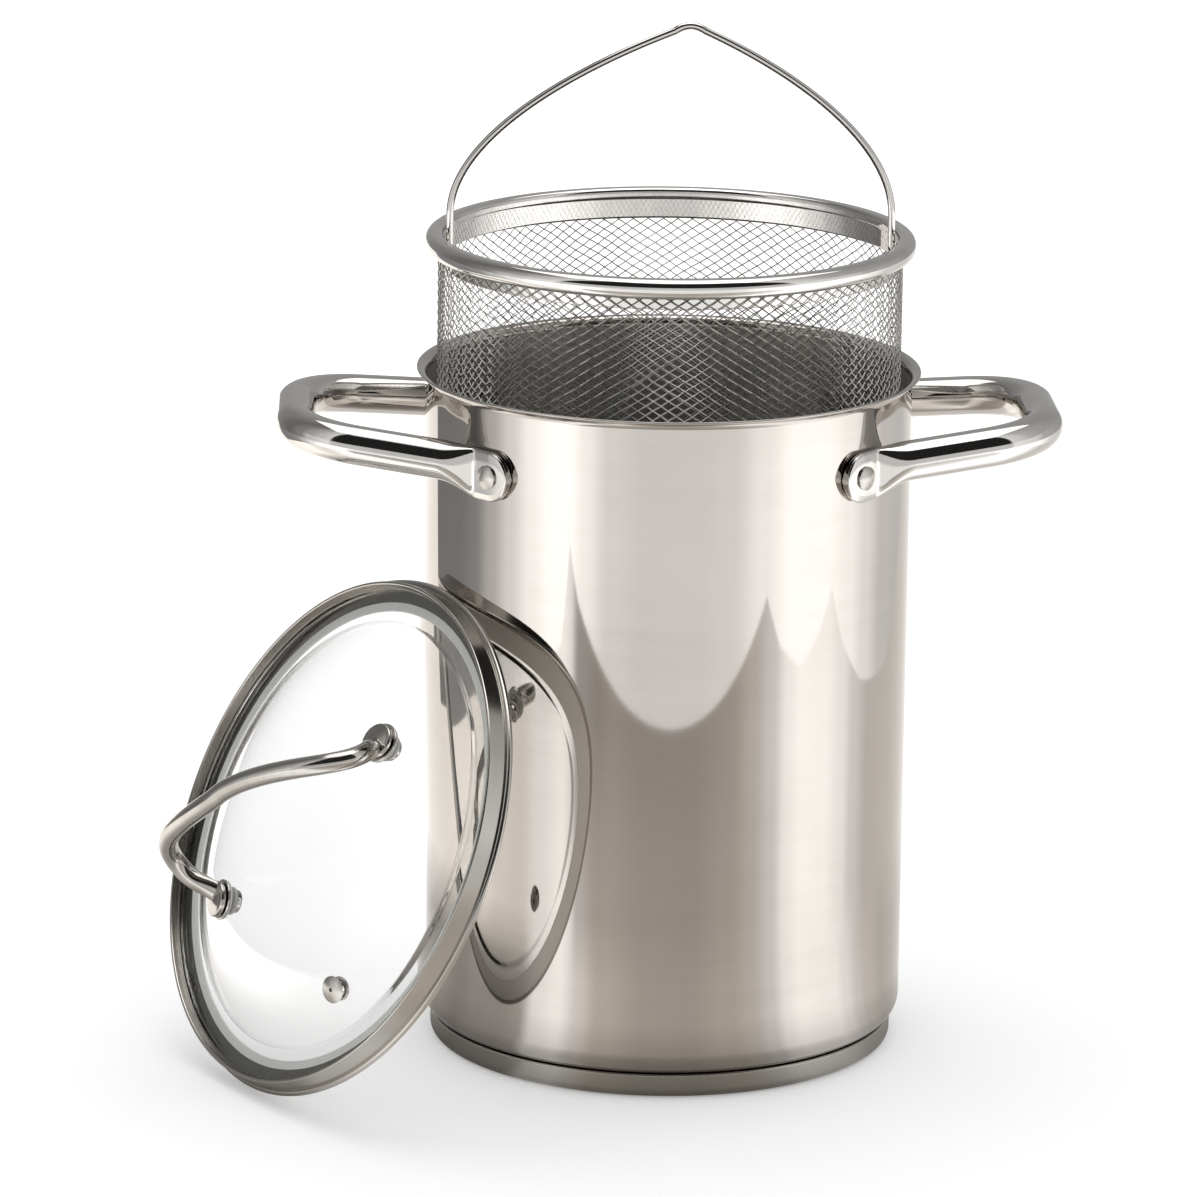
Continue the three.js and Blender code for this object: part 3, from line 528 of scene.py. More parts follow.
def bowStations():
    reach = pot["radius"] + bow["standoff"]
    rivetBearing = radians(rivet["angle"])
    spread = tabMiddle * sin(rivetBearing)
    legStart = Vector((reach, spread - bow["gripInset"]))
    legRoot = Vector((pot["radius"] - bow["legRootInset"], spread - bow["legRootToRivet"]))
    legWay = (legRoot - legStart).normalized()
    inward = legStart.dot(legWay)
    toWall = -inward - sqrt(inward ** 2 - legStart.length_squared + tabMiddle ** 2)
    bendPoint = legStart + legWay * toWall
    flatStart = bendPoint - legWay * bow["flattening"]
    flatEnd = min(atan2(bendPoint.y, bendPoint.x) + bow["settling"] / tabMiddle, rivetBearing)

    def onWall(bearing):
        return Vector((cos(bearing), sin(bearing))) * tabMiddle

    rod, tabHalf = bow["rod"], bow["tabHalf"]
    half = [(Vector((reach, 0)), 0, rod)]
    cornerTurn = acos(legWay.y)
    cornerLength = bow["bend"] * tan(cornerTurn / 2)
    centre = Vector((reach - bow["bend"], legStart.y - cornerLength))
    for x, y in arc(centre.x, centre.y, bow["bend"], 0, degrees(cornerTurn), bow["cornerSteps"]):
        half.append((Vector((x, y)), 0, rod))
    for i in range(bow["flatSteps"] + 1):
        t = i / bow["flatSteps"]
        share = ease(t, 0, 1)
        spot = flatStart * (1 - t) ** 2 + bendPoint * (2 * t * (1 - t)) + onWall(flatEnd) * t ** 2
        half.append((spot, share, mix(rod, tabHalf, share)))
    for i in range(bow["endSteps"]):
        angle = i / bow["endSteps"] * pi / 2
        spot = onWall(rivetBearing + tabHalf * sin(angle) / tabMiddle)
        half.append((spot, 1, tabHalf * cos(angle)))
    return [(Vector((s.x, -s.y)), f, h) for s, f, h in half[:0:-1]] + half


def bowMesh():
    route = bowStations()
    spots = [station[0] for station in route]
    climb = tan(radians(bow["climb"]))
    tabLevel = rivet["height"] + bow["tabHalf"] - bow["rod"]
    rivetReach = tabMiddle * cos(radians(rivet["angle"]))
    rings = []
    for i, (spot, flatness, halfHeight) in enumerate(route):
        way = wayAt(spots, i)
        level = mix(tabLevel + climb * (spot.x - rivetReach), tabLevel, flatness)
        level -= flatness * (bow["tabHalf"] - bow["rod"])
        rings.append((
            Vector((spot.x, spot.y, level)), Vector((-way.y, way.x, 0)), upward,
            mix(bow["rod"], bow["tab"] / 2, flatness), halfHeight, mix(2, bow["squareness"], flatness),
        ))
    verts, faces = lofted(rings, bow["sides"])
    wall = pot["radius"] + bow["fit"]
    for v in verts:  # the legs' ends lie against the wall
        reach = hypot(v.x, v.y)
        if reach < wall:
            v.x, v.y = v.x * wall / reach, v.y * wall / reach
    return verts, faces


def rivetMesh():
    tailFace = sqrt((pot["radius"] - pot["wall"] - rivet["fit"]) ** 2 - rivet["tail"] ** 2)
    tailEnd = tailFace - rivet["tailThickness"]
    headFace = tabOuter + rivet["headGap"]
    outline = [(0, tailEnd)]
    outline += corner(rivet["tail"], tailEnd, rivet["bevel"], -90, 5)
    shank, head = rivet["shank"], rivet["head"]
    outline += [(rivet["tail"], tailFace), (shank, tailFace), (shank, headFace), (head, headFace)]
    outline += dome(head, headFace + rivet["skirt"], rivet["dome"], 12)
    return turned(outline, rivet["sides"])


for side, bearing in (("right", 0), ("left", 180)):
    place = Matrix.Rotation(radians(bearing), 4, "Z")
    piece = newObject("bowHandle." + side, *bowMesh(), place)
    dress(piece, brightSteel, "pot", "bright_steel", "handle_" + side)
    for end, turn in (("front", -1), ("back", 1)):
        mirrored = turn if side == "right" else -turn
        direction = outward(bearing + mirrored * rivet["angle"])
        stand = direction.to_track_quat("Z", "Y").to_matrix().to_4x4()
        spot = Matrix.Translation((0, 0, rivet["height"] * mm)) @ stand
        piece = newObject(f"rivet.{side}.{end}", *rivetMesh(), spot)
        dress(piece, buttonSteel, "pot", "bright_steel", f"rivet_{side}_{end}")
print("handles and rivets made")


# basket: rolled rim, woven wall and floor, foot ring, eyelets and bail

basket = {
    "middle": 271.3, "rimRadius": 81, "rimHeight": 6.6, "rimRound": 1.6, "rimBead": 3.0, "hook": 0.8,
    "beadStep": 0.35, "toeRound": 0.5, "toeLevel": 0.2, "toeTurn": 250, "toeFoot": -0.4, "hem": 7.2,
    "hemWall": 0.65, "wallRadius": 76.95, "wallThickness": 0.9, "depth": 214, "ringHeight": 6,
    "ringLip": 3.4, "ringWall": 0.4, "fit": 0.1, "steps": 176, "ringSteps": 144,
}
wallInner = basket["wallRadius"] - basket["wallThickness"]
hemOuter = wallInner - basket["fit"]
hemInner = hemOuter - basket["hemWall"]
basketPlace = Matrix.Translation((0, 0, basket["middle"] * mm))


def makeBasketRim():
    half, rounding, hook = basket["rimHeight"] / 2, basket["rimRound"], basket["hook"]
    slotOuter = basket["wallRadius"] + basket["fit"]
    slotTop = half - rounding - basket["hemWall"]
    hemEdge = basket["hemWall"] / 2
    outline = arc((hemInner + hemOuter) / 2, -basket["hem"] + hemEdge, hemEdge, 180, 360, 6)
    outline += [(hemOuter, slotTop), (slotOuter, slotTop)]
    outline += corner(slotOuter, -half, hook, 180, 5)
    bead = basket["rimBead"]
    outline += corner(basket["rimRadius"], -half, bead, -90, 14)
    outline += corner(basket["rimRadius"], half, bead, 0, 14)
    # the bead stands a little inside the hem and turns back to it in a small toe
    inside, toe = hemInner - basket["beadStep"], basket["toeRound"]
    outline += corner(inside, half, rounding, 90, 10)
    outline += arc(inside + toe, basket["toeLevel"], toe, 180, basket["toeTurn"], 5)
    outline += [(hemInner, basket["toeFoot"])]
    piece = newObject("basketRim", *turned(outline, basket["steps"], closed=True), basketPlace)
    dress(piece, brightSteel, "basket", "bright_steel", "basket_rim")


def makeFootRing():
    outer = basket["wallRadius"] + basket["fit"] + basket["ringWall"]
    lipEnd = wallInner - basket["fit"] - basket["ringLip"]
    low, wall = -basket["depth"], basket["ringWall"]
    outline = arc(lipEnd + wall / 2, low + wall / 2, wall / 2, 90, 270, 5)
    outline += arc(outer - 2 * wall, low + 2 * wall, 2 * wall, -90, 0, 6)
    outline += arc(outer - wall / 2, low + basket["ringHeight"] - wall / 2, wall / 2, 0, 180, 5)
    outline += arc(outer - 2 * wall, low + 2 * wall, wall, 0, -90, 6)
    piece = newObject("basketFootRing", *turned(outline, basket["ringSteps"], closed=True), basketPlace)
    dress(piece, brightSteel, "basket", "bright_steel", "basket_foot_ring")


weave = {
    "around": 95, "cellHeight": 3.3, "wire": 0.21, "floorPitch": 2.9, "clear": 0.4, "sides": 4,
    "wobble": 0.32, "clamped": 12, "waves": 9, "seed": 11,
}


def tube(verts, faces, route, outs, radius, sides):
    first = len(verts)
    rings = []
    for i, (spot, out) in enumerate(zip(route, outs)):
        across = wayAt(route, i).cross(out).normalized()
        rings.append((spot, out, across, radius, radius, 2))
    skinVerts, skinFaces = lofted(rings, sides)
    verts += skinVerts
    faces += [[first + point for point in face] for face in skinFaces]


# slow waves that pull the wires a little out of line, the same for both ways of the weave
def wireWaves(seed):
    draw = random.Random(seed)
    waves = []
    for i in range(weave["waves"]):  # count round the wall, lean, phase, and both strengths
        count, lean, phase = draw.randint(2, 26), draw.uniform(-0.3, 0.3), draw.uniform(0, 6.28)
        waves.append((count, lean, phase, draw.uniform(-1, 1), draw.uniform(-1, 1)))

    def shift(angle, height):
        along = sum(a * sin(n * angle + k * height + p) for n, k, p, a, b in waves)
        rise = sum(b * cos(n * angle + k * height + p) for n, k, p, a, b in waves)
        return along * weave["wobble"] / 2, rise * weave["wobble"] / 2

    return shift


def makeWovenWall():
    middle = basket["wallRadius"] - basket["wallThickness"] / 2
    low = -basket["depth"] + basket["ringWall"] + weave["clear"]
    high = basket["rimHeight"] / 2 - basket["rimRound"] - basket["hemWall"] - weave["clear"]
    pitch = 2 * pi / weave["around"]
    crossings = round((high - low) / (weave["cellHeight"] / 2))
    rise = (high - low) / crossings
    shift = wireWaves(weave["seed"])
    verts, faces = [], []
    for hand in (1, -1):
        for k in range(weave["around"]):
            route, outs = [], []
            for i in range(crossings + 1):
                angle, height = k * pitch + hand * i * pitch / 2, low + i * rise
                along, lift = shift(angle, height)
                held = min(1, min(height - low, high - height) / weave["clamped"])  # the edges hold still
                angle += along * held / middle
                out = Vector((cos(angle), sin(angle), 0))
                reach = middle + hand * (-1) ** i * weave["wire"]
                route.append(out * reach + Vector((0, 0, height + lift * held)))
                outs.append(out)
            tube(verts, faces, route, outs, weave["wire"], weave["sides"])
    piece = newObject("basketWeave", verts, faces, basketPlace)
    dress(piece, wireSteel, "basket", "wire_steel", "basket_wall")


def makeWovenFloor():
    radius = wallInner - weave["clear"]
    level = -basket["depth"] + basket["ringWall"] + basket["fit"] + basket["wallThickness"] / 2
    pitch = weave["floorPitch"]
    count = int(radius / pitch)
    verts, faces = [], []
    for hand, turn in ((1, 45), (-1, 135)):
        way, aside = outward(turn), outward(turn + 90)
        for k in range(-count, count + 1):
            reach = sqrt(radius ** 2 - (k * pitch) ** 2)
            inner = int(reach / pitch)
            marks = [-reach] + [i * pitch for i in range(-inner, inner + 1)] + [reach]
            route = []
            for j, t in enumerate(marks):
                crossing = round(t / pitch)
                lift = hand * (-1) ** (crossing + k) * weave["wire"]
                if j in (0, len(marks) - 1):
                    lift = 0
                route.append(aside * (k * pitch) + way * t + upward * (level + lift))
            tube(verts, faces, route, [upward] * len(route), weave["wire"], weave["sides"])
    piece = newObject("basketFloorWeave", verts, faces, basketPlace)
    dress(piece, wireSteel, "basket", "wire_steel", "basket_floor")


bail = {
    "wire": 1.25, "height": 75.7, "crownShift": 5.5, "crownRound": 5, "crownDrop": 2.1, "crownPeak": 1.4,
    "leg": 12, "shoulder": 36.5, "eaves": 45, "elbow": 2.4, "fit": 0.3, "drop": 3.5, "flange": 3,
    "flangeThickness": 0.55, "tube": 2, "chamfer": 0.1, "sides": 16, "eyeletSteps": 40,
}
eyeletReach = hemInner - bail["fit"]
bailSpan = eyeletReach - bail["flangeThickness"] - bail["fit"] - bail["wire"]
bailPlace = Matrix.Translation((0, 0, (basket["middle"] - bail["drop"]) * mm))


def bezier(points, steps):
    result = []
    degree = len(points) - 1
    for i in range(steps + 1):
        t = i / steps
        spot = Vector((0, 0, 0))
        for k, p in enumerate(points):
            spot += p * (comb(degree, k) * t ** k * (1 - t) ** (degree - k))
        result.append(spot)
    return result


def makeBail():
    def spot(x, z):
        return Vector((x, 0, z))

    def side(sign):
        pin, span = sign * (hemOuter - basket["fit"]), sign * bailSpan
        elbow = sign * bail["elbow"]
        crown = spot(bail["crownShift"] + sign * bail["crownRound"], bail["height"] - bail["crownDrop"])
        slope = crown.lerp(spot(span, bail["eaves"]), 0.5)
        route = bezier([spot(pin, 0), spot(span + elbow, 0)], 2)
        route += bezier([spot(span + elbow, 0), spot(span, 0), spot(span, bail["elbow"])], 10)[1:]
        route += bezier([spot(span, bail["elbow"]), spot(span, bail["leg"])], 3)[1:]
        route += bezier([spot(span, bail["leg"]), spot(span, bail["shoulder"]), slope, crown], 44)[1:]
        return route

    left, right = side(-1), side(1)
    peak = spot(bail["crownShift"], bail["height"] + bail["crownPeak"])
    route = left + bezier([left[-1], peak, right[-1]], 12)[1:] + right[-2::-1]
    rings = []
    for i, centre in enumerate(route):
        way = wayAt(route, i)
        across = Vector((0, 1, 0))
        rings.append((centre, across, way.cross(across), bail["wire"], bail["wire"], 2))
    piece = newObject("basketBail", *lofted(rings, bail["sides"]), bailPlace)
    dress(piece, brightSteel, "bail", "bright_steel", "basket_bail")


def makeEyelet(side, turn):
    bore, thick = bail["wire"] + bail["fit"], bail["flangeThickness"]
    tubeEnd = bail["fit"] + basket["hemWall"] - basket["fit"]
    outline = [(bore + bail["chamfer"], -thick)]
    outline += arc(bail["flange"] - thick / 2, -thick / 2, thick / 2, -90, 90, 6)
    outline += [(bail["tube"], 0), (bail["tube"], tubeEnd), (bore, tubeEnd), (bore, bail["chamfer"] - thick)]
    spin = Matrix.Rotation(turn, 4, "Z") @ Matrix.Translation((eyeletReach * mm, 0, 0))
    place = bailPlace @ spin @ Matrix.Rotation(pi / 2, 4, "Y")
    piece = newObject("bailEyelet." + side, *turned(outline, bail["eyeletSteps"], closed=True), place)
    dress(piece, brightSteel, "basket", "bright_steel", "bail_eyelet_" + side)


makeBasketRim()
makeFootRing()
makeWovenWall()
makeWovenFloor()
makeBail()
makeEyelet("right", 0)
makeEyelet("left", pi)
print("basket made")


# lid: steel band, domed glass, arched handle with its screws, and the vent

lid = {
    "radius": 88, "topRadius": 85.6, "height": 8.3, "wall": 1.3, "topRound": 0.6, "bead": 1.1,
    "beadTurn": 120, "flangeRadius": 76.6, "flange": 0.8, "flangeRaise": 0.45, "flangeRound": 0.4,
    "seat": 79.6, "rimStrip": 2, "lipRadius": 83.4, "lip": 0.6, "lipRound": 0.3, "domeEdge": 73,
    "rise": 15.5, "fullness": 3, "domeSteps": 100, "glass": 3.5, "glassRound": 0.9, "fit": 0.3,
    "heading": -149.87, "tilt": 24.02, "steps": 192,
}
flangeTop = lid["flangeRaise"] + lid["flange"]
glassUnder = flangeTop + lid["fit"]
glassTop = glassUnder + lid["glass"]
lipUnder = glassTop + lid["fit"]
bandInner = lid["topRadius"] - lid["wall"]
glassRadius = bandInner - lid["fit"]
domeRadius = lid["domeEdge"]


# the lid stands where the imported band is: its axis from the lean, its foot from the band's own points
def lidMatrix():
    across = outward(lid["heading"] + 90)
    face = outward(lid["heading"]) * cos(radians(lid["tilt"]))
    face.z = sin(radians(lid["tilt"]))
    points = [v.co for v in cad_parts["lid_band"].data.vertices]
    centre = sum(points, Vector()) / len(points)
    origin = centre - face * (centre.dot(face) - min(p.dot(face) for p in points))
    turn = Matrix((across, face.cross(across), face)).transposed().to_4x4()
    return Matrix.Translation(origin) @ turn


lidPlace = lidMatrix()
bandSteel = makeSteel("lid_band_steel", lidPlace)
flangePaintedReflection = makeSteel("lid_flange_painted_reflection", lidPlace, metal=0.45)
seatPaintedShade = makeSteel("lid_seat_painted_shade", lidPlace)
lidGlass = makeGlass(lidPlace)


def domeHeight(reach):
    return glassTop + lid["rise"] * (1 - min(reach / domeRadius, 1) ** lid["fullness"])


def domePlace(reach, turn):
    slope = lid["rise"] * lid["fullness"] / domeRadius * (reach / domeRadius) ** (lid["fullness"] - 1)
    spot = outward(turn) * reach + upward * domeHeight(reach)
    facing = (outward(turn) * slope + upward).normalized()
    lean = upward.rotation_difference(facing)
    return Matrix.Translation(spot * mm) @ lean.to_matrix().to_4x4()


def makeLidBand():
    lipTop = lipUnder + lid["lip"]
    radius, bead, top = lid["radius"], lid["bead"], lid["topRound"]
    edge, lipEdge = lid["flangeRound"], lid["lipRound"]
    outline = corner(lid["flangeRadius"], lid["flangeRaise"], edge, 180, 5)
    outline += [(radius - bead * 2, lid["flangeRaise"])]
    outline += arc(radius - bead, bead, bead, -90, lid["beadTurn"], 18)
    outline += arc(lid["topRadius"] - top, lid["height"] - top, top, 0, 180, 12)
    outline += arc(lid["lipRadius"] + lipEdge, lipTop - lipEdge, lipEdge, 90, 270, 8)
    outline += [(bandInner, lipUnder), (bandInner, flangeTop), (lid["seat"], flangeTop)]
    outline += corner(lid["flangeRadius"], flangeTop, edge, 90, 5)
    piece = newObject("lidBand", *turned(outline, lid["steps"], closed=True), lidPlace)
    dress(piece, bandSteel, "lid", "brushed_steel", "lid_band")
    # the flange is satin and painted pale, a painted reflection of the white around it, and darkened by
    # painted shade where the glass is seated on it
    piece.data.materials.append(flangePaintedReflection)
    piece.data.materials.append(seatPaintedShade)
    upright, near = lidPlace.inverted(), 0.1
    for face in piece.data.polygons:
        spot = upright @ face.center / mm
        reach = hypot(spot.x, spot.y)
        if reach < radius - lid["rimStrip"] and spot.z < flangeTop + near:
            face.material_index = 1
        if lid["seat"] < reach < bandInner + near and spot.z > flangeTop - near:
            face.material_index = 2


knob = {
    "rod": 3.3, "rodEnd": 0.9, "reach": 44, "turn": 51.4, "rise": 32, "swing": 13.7, "bulge": 15.7,
    "skew": 1.45, "leanIn": 2.2, "leanLift": 9, "sunk": 0.6, "foot": 6, "footThickness": 2,
    "footBevel": 0.7, "footFace": 4.8, "footDome": 0.7, "footHole": 1.2, "washer": 6.8,
    "washerThickness": 0.6, "washerRound": 0.22, "gasket": 6.5, "gasketThickness": 0.7, "pad": 4.6,
    "padThickness": 0.8, "padRound": 0.25, "shank": 2, "chamfer": 0.3, "head": 3.8, "headHeight": 1.5,
    "headBevel": 0.5, "socket": 1.3, "socketDepth": 0.6, "socketFlare": 0.2, "socketEdge": 0.1, "steps": 90,
    "sides": 28,
}
vent = {
    "reach": 61.5, "turn": -47, "flange": 3.9, "thickness": 1, "button": 4.5, "buttonRound": 0.25,
    "skirt": 0.3, "dome": 0.9, "tube": 2.6, "bore": 1.2, "boreRound": 0.3, "mouth": 0.6, "mouthDepth": 0.4,
    "throat": 0.7,
}
washerBase = lid["fit"] + knob["gasketThickness"] + lid["fit"]
footBase = washerBase + knob["washerThickness"] + lid["fit"]
footTop = footBase + knob["footThickness"]
padTop = -lid["glass"] - lid["fit"]
headTop = padTop - knob["padThickness"] - lid["fit"]
screwPlaces = {"a": domePlace(knob["reach"], knob["turn"]), "b": domePlace(knob["reach"], knob["turn"] + 180)}
ventPlace = domePlace(vent["reach"], vent["turn"])


def drill(radius, place):
    half = 8  # well past both faces of the glass
    rod = [(0, -half), (radius, -half), (radius, half), (0, half)]
    return newObject("drill", *turned(rod, 40), lidPlace @ place)


def makeLidGlass():
    steps = lid["domeSteps"]
    reaches = [domeRadius * i / steps for i in range(steps + 1)]
    over = [(reach, domeHeight(reach)) for reach in reaches]
    under = [(reach, height - lid["glass"]) for reach, height in over]
    rounding = lid["glassRound"]
    outline = list(under)
    outline += corner(glassRadius, glassUnder, rounding, -90, 6)
    outline += corner(glassRadius, glassTop, rounding, 0, 6)
    outline += over[::-1]
    piece = newObject("lidGlassPlate", *turned(outline, lid["steps"]), lidPlace)
    holes = [drill(knob["shank"] + lid["fit"], place) for place in screwPlaces.values()]
    holes.append(drill(vent["tube"] + lid["fit"], ventPlace))
    carve(piece, holes)
    dress(piece, lidGlass, "lid", "glass", "lid_glass")


def footMesh():
    bevel, radius = knob["footBevel"], knob["foot"]
    hole, holeTop = knob["shank"] + lid["fit"], footBase + knob["footHole"]
    outline = [(0, holeTop), (hole, holeTop), (hole, footBase)]
    outline += corner(radius, footBase, bevel, -90, 5)
    outline += corner(radius, footTop, bevel, 0, 5)
    outline += dome(knob["footFace"], footTop, knob["footDome"], 8)
    return turned(outline, 56)


def makeLidHandle():
    local = domePlace(knob["reach"], 0)
    foot = (local @ Vector((0, 0, (footBase + footTop) / 2 * mm))) / mm
    route = []
    for i in range(knob["steps"] + 1):
        angle = pi * (i / knob["steps"] - 0.5)
        share = abs(angle) / (pi / 2)
        swing = -copysign(1, angle) * knob["swing"] * sin(pi * share ** knob["skew"])
        lift = knob["rise"] * cos(angle)
        lean = 1 - knob["leanIn"] / foot.x * (1 - ease(lift, 0, knob["leanLift"]))
        bulge = knob["bulge"] * sin(angle) * abs(sin(angle)) * cos(angle)
        if lift > knob["sunk"]:  # the ends start inside the feet
            route.append(Vector((foot.x * sin(angle) * lean + bulge, swing, foot.z + lift)))
    rings = []
    for i, centre in enumerate(route):
        way = wayAt(route, i)
        side = way.cross(upward).normalized()
        clear = ease(centre.z - foot.z, 0, knob["foot"])
        rings.append((centre, side, way.cross(side), knob["rod"], mix(knob["rodEnd"], knob["rod"], clear), 2))
    turn = Matrix.Rotation(radians(knob["turn"]), 4, "Z")
    piece = newObject("lidHandleRod", *lofted(rings, knob["sides"]), lidPlace @ turn)
    join(piece, [newObject("foot", *footMesh(), lidPlace @ place) for place in screwPlaces.values()])
    dress(piece, rodSteel, "lid", "bright_steel", "lid_handle")


def ringMesh(inner, outer, low, thickness, rounding):
    high = low + thickness
    outline = corner(inner, low, rounding, 180, 3)
    outline += corner(outer, low, rounding, -90, 4)
    outline += corner(outer, high, rounding, 0, 4)
    outline += corner(inner, high, rounding, 90, 3)
    return turned(outline, 48, closed=True)


def makeLidHardware(letter, place):
    spot = lidPlace @ place
    hole, soft = knob["shank"] + lid["fit"], knob["padRound"]
    gasket = ringMesh(hole, knob["gasket"], lid["fit"], knob["gasketThickness"], soft)
    washer = ringMesh(hole, knob["washer"], washerBase, knob["washerThickness"], knob["washerRound"])
    pad = ringMesh(hole, knob["pad"], padTop - knob["padThickness"], knob["padThickness"], soft)
    low, bevel = headTop - knob["headHeight"], knob["headBevel"]
    socket, flare, shank = knob["socket"], knob["socketFlare"], knob["shank"]
    shankEnd = footBase + knob["footHole"] - lid["fit"]
    outline = [(0, low + knob["socketDepth"]), (socket, low + knob["socketDepth"])]
    outline += [(socket + flare, low + knob["socketEdge"]), (socket + 2 * flare, low)]
    outline += corner(knob["head"], low, bevel, -90, 5)
    outline += [(knob["head"], headTop), (shank, headTop), (shank, shankEnd - knob["chamfer"])]
    outline += [(shank - knob["chamfer"], shankEnd), (0, shankEnd)]
    for name, node, shape, material, slot in (
        ("lidTopGasket.", "lid_top_gasket_", gasket, silicone, "silicone"),
        ("lidWasher.", "lid_washer_", washer, brightSteel, "bright_steel"),
        ("lidUnderGasket.", "lid_under_gasket_", pad, silicone, "silicone"),
        ("lidScrew.", "lid_screw_", turned(outline, 48), brightSteel, "bright_steel"),
    ):
        dress(newObject(name + letter, *shape, spot), material, "lid", slot, node + letter)


def makeVent():
    low, half, high = -lid["glass"] - lid["fit"], vent["thickness"] / 2, lid["fit"]
    edge, rounding = vent["boreRound"], vent["buttonRound"]
    outline = corner(vent["bore"], low - vent["thickness"], edge, 180, 4)
    outline += arc(vent["flange"] - half, low - half, half, -90, 90, 8)
    outline += [(vent["tube"], low), (vent["tube"], high)]
    outline += corner(vent["button"], high, rounding, -90, 4)
    crown = dome(vent["button"], high + vent["skirt"], vent["dome"], 14)
    outline += [spot for spot in crown if spot[0] > vent["mouth"]]
    top = crown[-1][1]
    outline += [(vent["mouth"], top - vent["mouthDepth"]), (vent["bore"], top - vent["throat"])]
    piece = newObject("ventGrommet", *turned(outline, 56, closed=True), lidPlace @ ventPlace)
    dress(piece, buttonSteel, "lid", "bright_steel", "vent_grommet")


makeLidBand()
makeLidGlass()
makeLidHandle()
for letter, place in screwPlaces.items():
    makeLidHardware(letter, place)
makeVent()
print("lid made")


# table top, studio light and camera

table = {
    "edge": [(-605, -565), (-490, -537), (505, -537), (497, -420), (531, -307), (625, -215), (716, -151),
        (630, -60), (554, 69), (487, 277), (700, 2200), (-900, 2600), (-1100, 1500), (-370, 310),
        (-480, 170), (-555, 48), (-560, -80), (-550, -215), (-530, -320), (-503, -400), (-500, -420)],
    # mirrored: the paper made dark where the metal sees it, a painted shade under the painted reflection glow
    "paper": (0.84, 0.84, 0.845), "mirrored": (0.16, 0.155, 0.15), "paintedWarmReflection": (1.0, 0.93, 0.84),
    "level": -0.0002, "grain": 900.0, "grainShare": 0.04, "rough": 0.9,
    "lift": 0.26, "liftFar": 0.6, "liftSpan": (0.25, 1.1), "footTurn": 0.045, "nearToFar": (0.2, 0.28),
    "paintedFrontShadeSpan": (0.3, 0.54), "paintedContactShade": 0.085, "paintedContactShadeLevel": 0.26,
    # near and far: painted reflections, how brightly the table glows in the metal close to the pot and
    # farther out, by bearing; the bright lobes stand in for lamp highlights and the dim sectors for shade
    "near": [(-180, 0.7), (-150, 0.5), (-137, 0.4), (-116, 0.32), (-100, 0.42), (-86, 0.45), (-73, 0.55),
        (-64, 1.4), (-52, 1.6), (-42, 1.05), (-32, 0.72), (-10, 0.53), (9, 0.51), (29, 0.63), (40, 0.76),
        (50, 1.0), (58, 1.5), (66, 1.72), (88, 1.62), (96, 1.35), (106, 1.0), (113, 0.85), (132, 0.64),
        (180, 0.7)],
    "far": [(-180, 1.2), (-139, 1.25), (-117, 1.45), (-101, 1.55), (-88, 1.2), (-76, 1.1), (-64, 1.4),
        (-52, 1.7), (-48, 1.4), (-44, 0.75), (-34, 0.55), (-10, 0.45), (9, 0.44), (29, 0.55), (40, 0.72),
        (50, 1.0), (58, 1.58), (66, 1.8), (80, 1.75), (92, 1.45), (100, 1.03), (113, 0.74), (132, 0.74),
        (180, 0.9)],
    # fall: painted shade, the mirrored glow dimmed in front of the pot farther out
    "paintedFrontShade": [(-180, 0), (-49, 0), (-45, 0.4), (-36, 0.35), (-26, 0.2), (26, 0.15), (40, 0), (180, 0)],
    # warmth: where the painted reflection takes its warm tint, by bearing
    "paintedReflectionWarmth": [(-180, 0.5), (-150, 0.5), (-76, 0.5), (-64, 0), (-46, 0), (-34, 1), (34, 1), (48, 0),
        (100, 0), (120, 0.5), (180, 0.5)],
}


def bearingNode(tree, split):
    return mathNode(tree, "ARCTAN2", split["X"], times(tree, split["Y"], -1.0))


# light levels round the pot, by bearing from the camera's side, -180 to 180 degrees
def ringRamp(tree, bearing, levels):
    full = 3  # a ramp holds levels up to 1
    ramp = addNode(tree, "ValToRGB")
    ramp.color_ramp.interpolation = "EASE"
    stops = ramp.color_ramp.elements
    while len(stops) < len(levels):
        stops.new(0.5)
    for stop, (angle, level) in zip(stops, levels):
        stop.position = (angle + 180) / 360
        stop.color = (level / full, level / full, level / full, 1)
    link(tree, rangeNode(tree, bearing, -pi, pi), ramp.inputs[0])
    return times(tree, ramp.outputs[0], full)


def isMirrored(tree, path):
    return mathNode(tree, "GREATER_THAN", path.outputs["Glossy Depth"], 0.5)


def blend(tree, share, first, second):
    node = addNode(tree, "Mix")
    link(tree, share, node.inputs["Factor"])
    link(tree, first, node.inputs["A"])
    link(tree, second, node.inputs["B"])
    return node.outputs["Result"]


